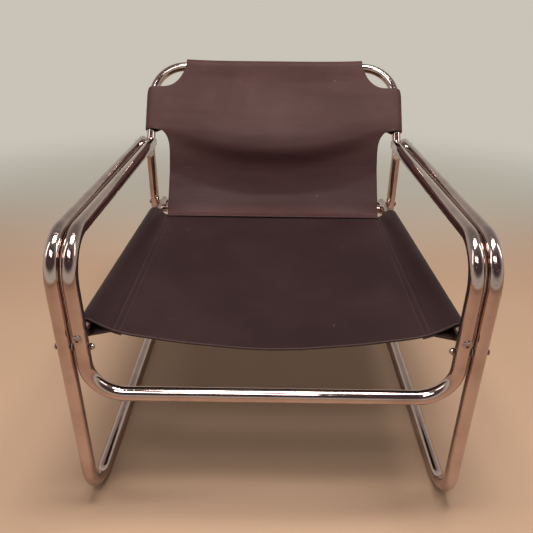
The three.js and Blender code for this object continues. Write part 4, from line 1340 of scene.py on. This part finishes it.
# %% [markdown]
# A finish starts from one shader. Its even values are set on its own sockets, and only what varies
# over the surface comes through nodes. Patterns follow either the piece's own space, in metres, or
# the flat map of the hide. The same few helpers serve leather, thread, metal and plastic.

# %% Tools for finishes
def start_finish(name, on_hide=False, **sockets):
    """A material, its tree, its shader with the even values set, and the place patterns follow."""
    material = bpy.data.materials.new(name)
    material.use_nodes = True
    tree = material.node_tree
    shader = tree.nodes["Principled BSDF"]
    for label, value in sockets.items():
        shader.inputs[label.replace("_", " ")].default_value = value
    if on_hide:
        return material, tree, shader, node(tree, "ShaderNodeUVMap", uv_map="hide").outputs[0]
    return material, tree, shader, node(tree, "ShaderNodeTexCoord").outputs["Object"]


def feed(tree, shader, **sockets):
    for label, socket in sockets.items():
        tree.links.new(socket, shader.inputs[label.replace("_", " ")])


def use(tree, group, place, **values):
    return node(tree, "ShaderNodeGroup", {"Place": place, **values}, node_tree=group).outputs


def raised(tree, height, depth, before=None):
    made = node(tree, "ShaderNodeBump", {"Height": height, "Distance": depth, "Strength": 1.0})
    if before:
        tree.links.new(before, made.inputs["Normal"])
    return made.outputs[0]


def coat(pieces_to_coat, *finishes):
    for piece in pieces_to_coat:
        for finish in finishes:
            piece.data.materials.append(finish)


print("finishes start from one shader")

# %% [markdown]
# ## Leather
#
# The hide is a deep aubergine brown with a matt finish. The seat is painted darker and the back
# lighter: painted shade and painted light, for the light that falls more on the back than on the
# seat. Grain and marks are read from each sheet's own flat map, in metres, so that they run on
# round the sleeves as they do on one piece of hide. Low swells run across the back and along the
# seat, where the leather has stretched. The back is also painted darker low down, a painted shade
# below the hollow.
# Each sheet's free edge is rubbed pale, with a dark line pressed beside it. The cut edge is
# burnished dark, and the flesh side, seen from behind and below, is a rough suede.

# %% The finished face of the hide
# metres from the front or lower edge of the hide
# painted shade low on the back, below the hollow: where it rises and falls, in metres up the hide
painted_shade_rise, painted_shade_fall = (0.02, 0.05), (0.14, 0.27)
rubbed_fall = (0.0022, 0.0036)
pressed_rise, pressed_fall = (0.0026, 0.0036), (0.0042, 0.0054)
rubbed_brown, pressed_brown = (0.2, 0.135, 0.135), (0.008, 0.004, 0.004)
scuff_brown, dust = (0.26, 0.19, 0.18), (0.42, 0.36, 0.33)


def grain_side(name, plain, patch, crease, ripples, painted_shade_strength=0.0):
    """The finished face of a hide. Its ripples are counted to a metre, across and along it."""
    material, tree, shader, on_hide = start_finish(name, on_hide=True, IOR=1.46,
                                                   Specular_IOR_Level=0.12)
    marks = use(tree, handling, on_hide)
    skin = use(tree, grain, on_hide)
    colour = blend(tree, marks["Patches"], plain, patch)
    along = node(tree, "ShaderNodeSeparateXYZ", {0: on_hide}).outputs["Y"]
    # painted shade: the lower back is darkened toward the crease colour, for the shade below the
    # hollow
    colour = blend(tree, between(tree, along, painted_shade_rise, painted_shade_fall, painted_shade_strength), colour, crease)
    colour = blend(tree, ramp(tree, along, *rubbed_fall, 0.3, 0.0), colour, rubbed_brown)
    pressed = between(tree, along, pressed_rise, pressed_fall, 0.8)
    colour = blend(tree, pressed, colour, pressed_brown)
    colour = blend(tree, ramp(tree, skin["Tone"], 0.2, 0.75, 0.5, 0.0), colour, crease)
    colour = blend(tree, maths(tree, "MULTIPLY", marks["Scuffs"], 0.3), colour, scuff_brown)
    colour = blend(tree, maths(tree, "MULTIPLY", marks["Specks"], 0.55), colour, dust)
    rough = maths(tree, "MULTIPLY_ADD", marks["Patches"], -0.08, 0.54)
    rough = maths(tree, "MULTIPLY_ADD", marks["Scuffs"], 0.12, rough)
    swell = noise(tree, stretched(tree, on_hide, ripples), 1.0, 2.0, 0.45)
    normal = raised(tree, skin["Height"], 0.00009, raised(tree, swell, 0.0035))
    feed(tree, shader, Base_Color=colour, Roughness=rough, Normal=normal)
    return material


# one leather in two painted copies: the seat's darker colours are painted shade, the back's lighter
# ones painted light
seat_hide_painted_shade = grain_side("seat_hide_painted_shade", plain=(0.027, 0.0135, 0.0135), patch=(0.0385, 0.0205, 0.0215),
                       crease=(0.015, 0.0078, 0.0078), ripples=(13, 3.5, 1))
back_hide_painted_light = grain_side("back_hide_painted_light", plain=(0.067, 0.0305, 0.029), patch=(0.09, 0.0415, 0.0405),
                       crease=(0.035, 0.0155, 0.015), ripples=(4, 17, 1), painted_shade_strength=0.75)
print("leather has", len(seat_hide_painted_shade.node_tree.nodes), "nodes")

# %% [markdown]
# A cut edge is rubbed with wax until its fibres close to a dark and slightly shiny line. The flesh
# side is left as the splitting knife left it: dull, with a fine nap, and clouded by wear. Solidify
# has already marked which faces belong to which.

# %% The cut edge and the flesh side
edge, tree, shader, on_hide = start_finish("burnished_edge", on_hide=True, Roughness=0.5)
fibres = noise(tree, on_hide, 900.0, 3.0, 0.6)
colour = blend(tree, fibres, (0.016, 0.009, 0.008), (0.04, 0.022, 0.02))
feed(tree, shader, Base_Color=colour, Normal=raised(tree, fibres, 0.0002))

flesh, tree, shader, on_hide = start_finish("flesh_side", on_hide=True, Roughness=0.92)
nap = noise(tree, on_hide, 1400.0, 4.0, 0.65)
soft = noise(tree, on_hide, 22.0, 4.0, 0.6)
tone = blend(tree, soft, (0.048, 0.028, 0.024), (0.085, 0.052, 0.044))
colour = blend(tree, ramp(tree, nap, 0.3, 0.7, 0.0, 0.35), tone, (0.12, 0.078, 0.066))
feed(tree, shader, Base_Color=colour, Normal=raised(tree, nap, 0.0003))

coat([seat], seat_hide_painted_shade, edge, flesh)
coat([back_sheet], back_hide_painted_light, edge, flesh)
print("each sheet has", len(seat.data.materials), "finishes")

# %% [markdown]
# The thread is waxed linen, a little lighter than the hide. Its twist is far too fine to model, so
# a small noise stands for it, in the colour and in the normals.

# %% Thread
thread, tree, shader, here = start_finish("waxed_thread", Roughness=0.7)
twist = noise(tree, here, 2200.0, 2.0)
colour = blend(tree, twist, (0.045, 0.027, 0.026), (0.11, 0.075, 0.071))
feed(tree, shader, Base_Color=colour, Normal=raised(tree, twist, 0.0002))
coat([seat_seams, back_sewing], thread)
print("thread on", seat_seams.name, "and", back_sewing.name)

# %% [markdown]
# ## Chrome, zinc and moulded plastic
#
# Chrome is a mirror, so most of its look is what stands round it: the floor, the leather and the
# lamps. Its own part is small, but its colour is tinted rosy, a painted reflection of a warm floor.
# The tube was never perfectly straight, which a long faint wave in the normals shows, and wiping
# and pitting take the edge off the reflections here and there.

# %% Chrome
chrome, tree, shader, here = start_finish("worn_chrome_painted_reflection", Metallic=1.0)
marks = use(tree, polish, here)
# both colours are tinted rosy: a painted reflection of a warm floor
colour = blend(tree, marks["Film"], (0.58, 0.465, 0.44), (0.45, 0.35, 0.33))
colour = blend(tree, maths(tree, "MULTIPLY", marks["Pits"], 0.75), colour, (0.17, 0.1, 0.075))
rough = maths(tree, "MULTIPLY_ADD", marks["Hairlines"], 0.16, 0.055)
rough = maths(tree, "MULTIPLY_ADD", marks["Film"], 0.05, rough)
rough = maths(tree, "MULTIPLY_ADD", marks["Pits"], 0.4, rough)
wave = raised(tree, noise(tree, here, 26.0, 1.0), 0.0005)
normal = raised(tree, maths(tree, "MULTIPLY", marks["Pits"], -1.0), 0.0001, wave)
feed(tree, shader, Base_Color=colour, Roughness=rough, Normal=normal)
coat(pieces["chrome"], chrome)
print("chrome on", len(pieces["chrome"]), "pieces")

# %% [markdown]
# Zinc plating is bright, but clouded where chrome is clear, so its roughness drifts in small
# patches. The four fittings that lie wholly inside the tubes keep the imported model's shape and only
# take the finish. The glides are black moulded plastic and the spacers are pale nylon.

# %% Zinc and plastic
zinc, tree, shader, here = start_finish("bright_zinc", Metallic=1.0)
marks = use(tree, polish, here, Amount=0.8)
cloud = noise(tree, here, 320.0, 3.0, 0.6)
# both colours carry a rosy tint like the chrome's, a painted reflection of a warm floor
colour = blend(tree, cloud, (0.38, 0.3, 0.28), (0.52, 0.43, 0.4))
rough = maths(tree, "MULTIPLY_ADD", cloud, 0.12, 0.08)
rough = maths(tree, "MULTIPLY_ADD", marks["Hairlines"], 0.12, rough)
colour = blend(tree, marks["Pits"], colour, (0.25, 0.17, 0.12))
feed(tree, shader, Base_Color=colour, Roughness=rough, Normal=raised(tree, cloud, 0.00006))
coat(pieces["zinc"], zinc)
hidden = ["post_insert_left", "post_insert_right", "crossbar_plug_left", "crossbar_plug_right"]
for name in hidden:
    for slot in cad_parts[name].material_slots:
        slot.material = zinc

plastic, tree, shader, here = start_finish("moulded_plastic", IOR=1.5)
spark = noise(tree, here, 1500.0, 2.0)
marks = use(tree, handling, here)
colour = blend(tree, marks["Patches"], (0.018, 0.017, 0.016), (0.034, 0.031, 0.029))
feed(tree, shader, Base_Color=colour, Roughness=maths(tree, "MULTIPLY_ADD", spark, 0.16, 0.42),
     Normal=raised(tree, spark, 0.00007))
nylon, tree, shader, here = start_finish("natural_nylon", IOR=1.53)
haze = noise(tree, here, 180.0, 3.0)
colour = blend(tree, haze, (0.22, 0.18, 0.15), (0.34, 0.29, 0.25))
feed(tree, shader, Base_Color=colour, Roughness=maths(tree, "MULTIPLY_ADD", haze, 0.2, 0.35),
     Normal=raised(tree, haze, 0.0001))
for piece in pieces["plastic"]:
    coat([piece], nylon if "spacer" in piece.name else plastic)
print("zinc on", len(pieces["zinc"]) + len(hidden), "pieces, plastic on", len(pieces["plastic"]))

# %% [markdown]
# ## Floor, background and light
#
# The floor is a plain pale sheet, warm under the chair and cooler behind it. A real studio would
# curve it up into a wall, but a wall would hide the chair from behind, so the floor runs on and its
# far part simply takes an even pale colour for the camera and for mirrors. Near the chair it is
# lit like any surface and keeps the shadow.

# %% The floor
sand, wall, dust_tone = (0.53, 0.34, 0.225), (0.585, 0.552, 0.475), (0.5, 0.42, 0.34)
floor_reach, chair_middle = 40, (0, -0.4, 0)
bm = bmesh.new()
bmesh.ops.create_grid(bm, x_segments=2, y_segments=2, size=floor_reach)
ground = bpy.data.meshes.new("floor")
bm.to_mesh(ground)
bm.free()
floor = bpy.data.objects.new("floor", ground)
bpy.context.scene.collection.objects.link(floor)
floor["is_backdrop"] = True

paper, tree, shader, here = start_finish("floor_paper", Roughness=0.75)
apart = node(tree, "ShaderNodeVectorMath", {0: here, 1: chair_middle},
             operation="DISTANCE").outputs["Value"]
behind = ramp(tree, node(tree, "ShaderNodeSeparateXYZ", {0: here}).outputs["Y"], 0.45, 1.5)
far_off = ramp(tree, apart, 2.4, 5.0)
shade = blend(tree, maths(tree, "MAXIMUM", behind, far_off), sand, wall)
speck = noise(tree, here, 260.0, 3.0)
feed(tree, shader, Base_Color=blend(tree, maths(tree, "MULTIPLY", speck, 0.12), shade, dust_tone))
path = node(tree, "ShaderNodeLightPath").outputs
seen = maths(tree, "MAXIMUM", path["Is Camera Ray"], path["Is Glossy Ray"])
glow = node(tree, "ShaderNodeEmission", {"Color": shade, "Strength": 1.0}).outputs[0]
even = node(tree, "ShaderNodeMixShader",
            {0: maths(tree, "MULTIPLY", ramp(tree, apart, 1.5, 3.2), seen)})
tree.links.new(shader.outputs[0], even.inputs[1])
tree.links.new(glow, even.inputs[2])
tree.links.new(even.outputs[0], tree.nodes["Material Output"].inputs["Surface"])
ground.materials.append(paper)

print("floor is", ground.name)

# %% [markdown]
# The air of the studio is what chrome mirrors upwards. It is pale, and darker high up in front, so
# that the tubes carry a dark band, as they do in a room with one bright side. The camera and the
# mirrors see these colours, while the leather gets only a weak and even share of them.

# %% The studio's air
ceiling, dark_front, fill_white = (0.22, 0.2, 0.185), (0.085, 0.06, 0.062), (1.0, 0.97, 0.92)
fill_light = 0.16
world = bpy.data.worlds.new("studio")
bpy.context.scene.world = world
world.use_nodes = True
tree = world.node_tree
sky_place = node(tree, "ShaderNodeTexCoord").outputs["Generated"]
toward = node(tree, "ShaderNodeSeparateXYZ", {0: sky_place}).outputs
sky = blend(tree, ramp(tree, toward["Z"], 0.02, 0.95), wall, ceiling)
in_front = maths(tree, "MULTIPLY", ramp(tree, toward["Y"], -0.5, -0.1, 1.0, 0.0),
                 ramp(tree, toward["Z"], 0.12, 0.4))
sky = blend(tree, in_front, sky, dark_front)
path = node(tree, "ShaderNodeLightPath").outputs
seen = maths(tree, "MAXIMUM", path["Is Camera Ray"], path["Is Glossy Ray"])
seen = maths(tree, "MAXIMUM", seen, path["Is Transmission Ray"])
background = tree.nodes["Background"]
tree.links.new(blend(tree, seen, fill_white, sky), background.inputs["Color"])
strength = maths(tree, "MULTIPLY_ADD", seen, 1 - fill_light, fill_light)
tree.links.new(strength, background.inputs["Strength"])
print("world is", world.name)

# %% [markdown]
# Four lamps light the chair. The overhead one gives most of the light and the shadow under the
# seat, the one high in front keeps the leather's face readable, and the two narrow ones at the
# sides draw the long bright lines on the legs.

# %% Soft lamps
lamp_colour = (1, 0.95, 0.9)
lamps = {
    "overhead": dict(place=(0.1, -0.3, 2.6), target=(0, 0.1, 0.3), width=1.3, length=0.6, power=58),
    "high_front": dict(place=(-0.35, -1.6, 2.3), target=(0, 0.15, 0.45), width=1.3, length=0.45,
                       power=14),
    "left_side": dict(place=(-2.1, -0.6, 1.9), target=(0, 0, 0.4), width=0.3, length=1.4, power=6),
    "right_side": dict(place=(2.2, -0.2, 1.9), target=(0, 0, 0.4), width=0.3, length=1.4, power=7),
}


def soft_lamp(name, place, target, width, length, power):
    lamp = bpy.data.lights.new(name, "AREA")
    lamp.shape, lamp.size, lamp.size_y = "RECTANGLE", width, length
    lamp.energy, lamp.color = power, lamp_colour
    stand = bpy.data.objects.new(name, lamp)
    aim = (Vector(target) - Vector(place)).normalized().to_track_quat("-Z", "Y")
    stand.matrix_world = Matrix.Translation(place) @ aim.to_matrix().to_4x4()
    bpy.context.scene.collection.objects.link(stand)


for name, setting in lamps.items():
    soft_lamp(name, **setting)
print(len(lamps), "lamps")

# %% [markdown]
# ## Last look
#
# The view transform stays plain, so that colours are as they were mixed.

# %% Sizes and the end
bpy.context.scene.view_settings.view_transform = "Standard"
low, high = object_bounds()
{"cad": [list(cad_low), list(cad_high)], "scene": [list(low), list(high)]}
print("chair's box", [round(v, 4) for v in (*low, *high)])
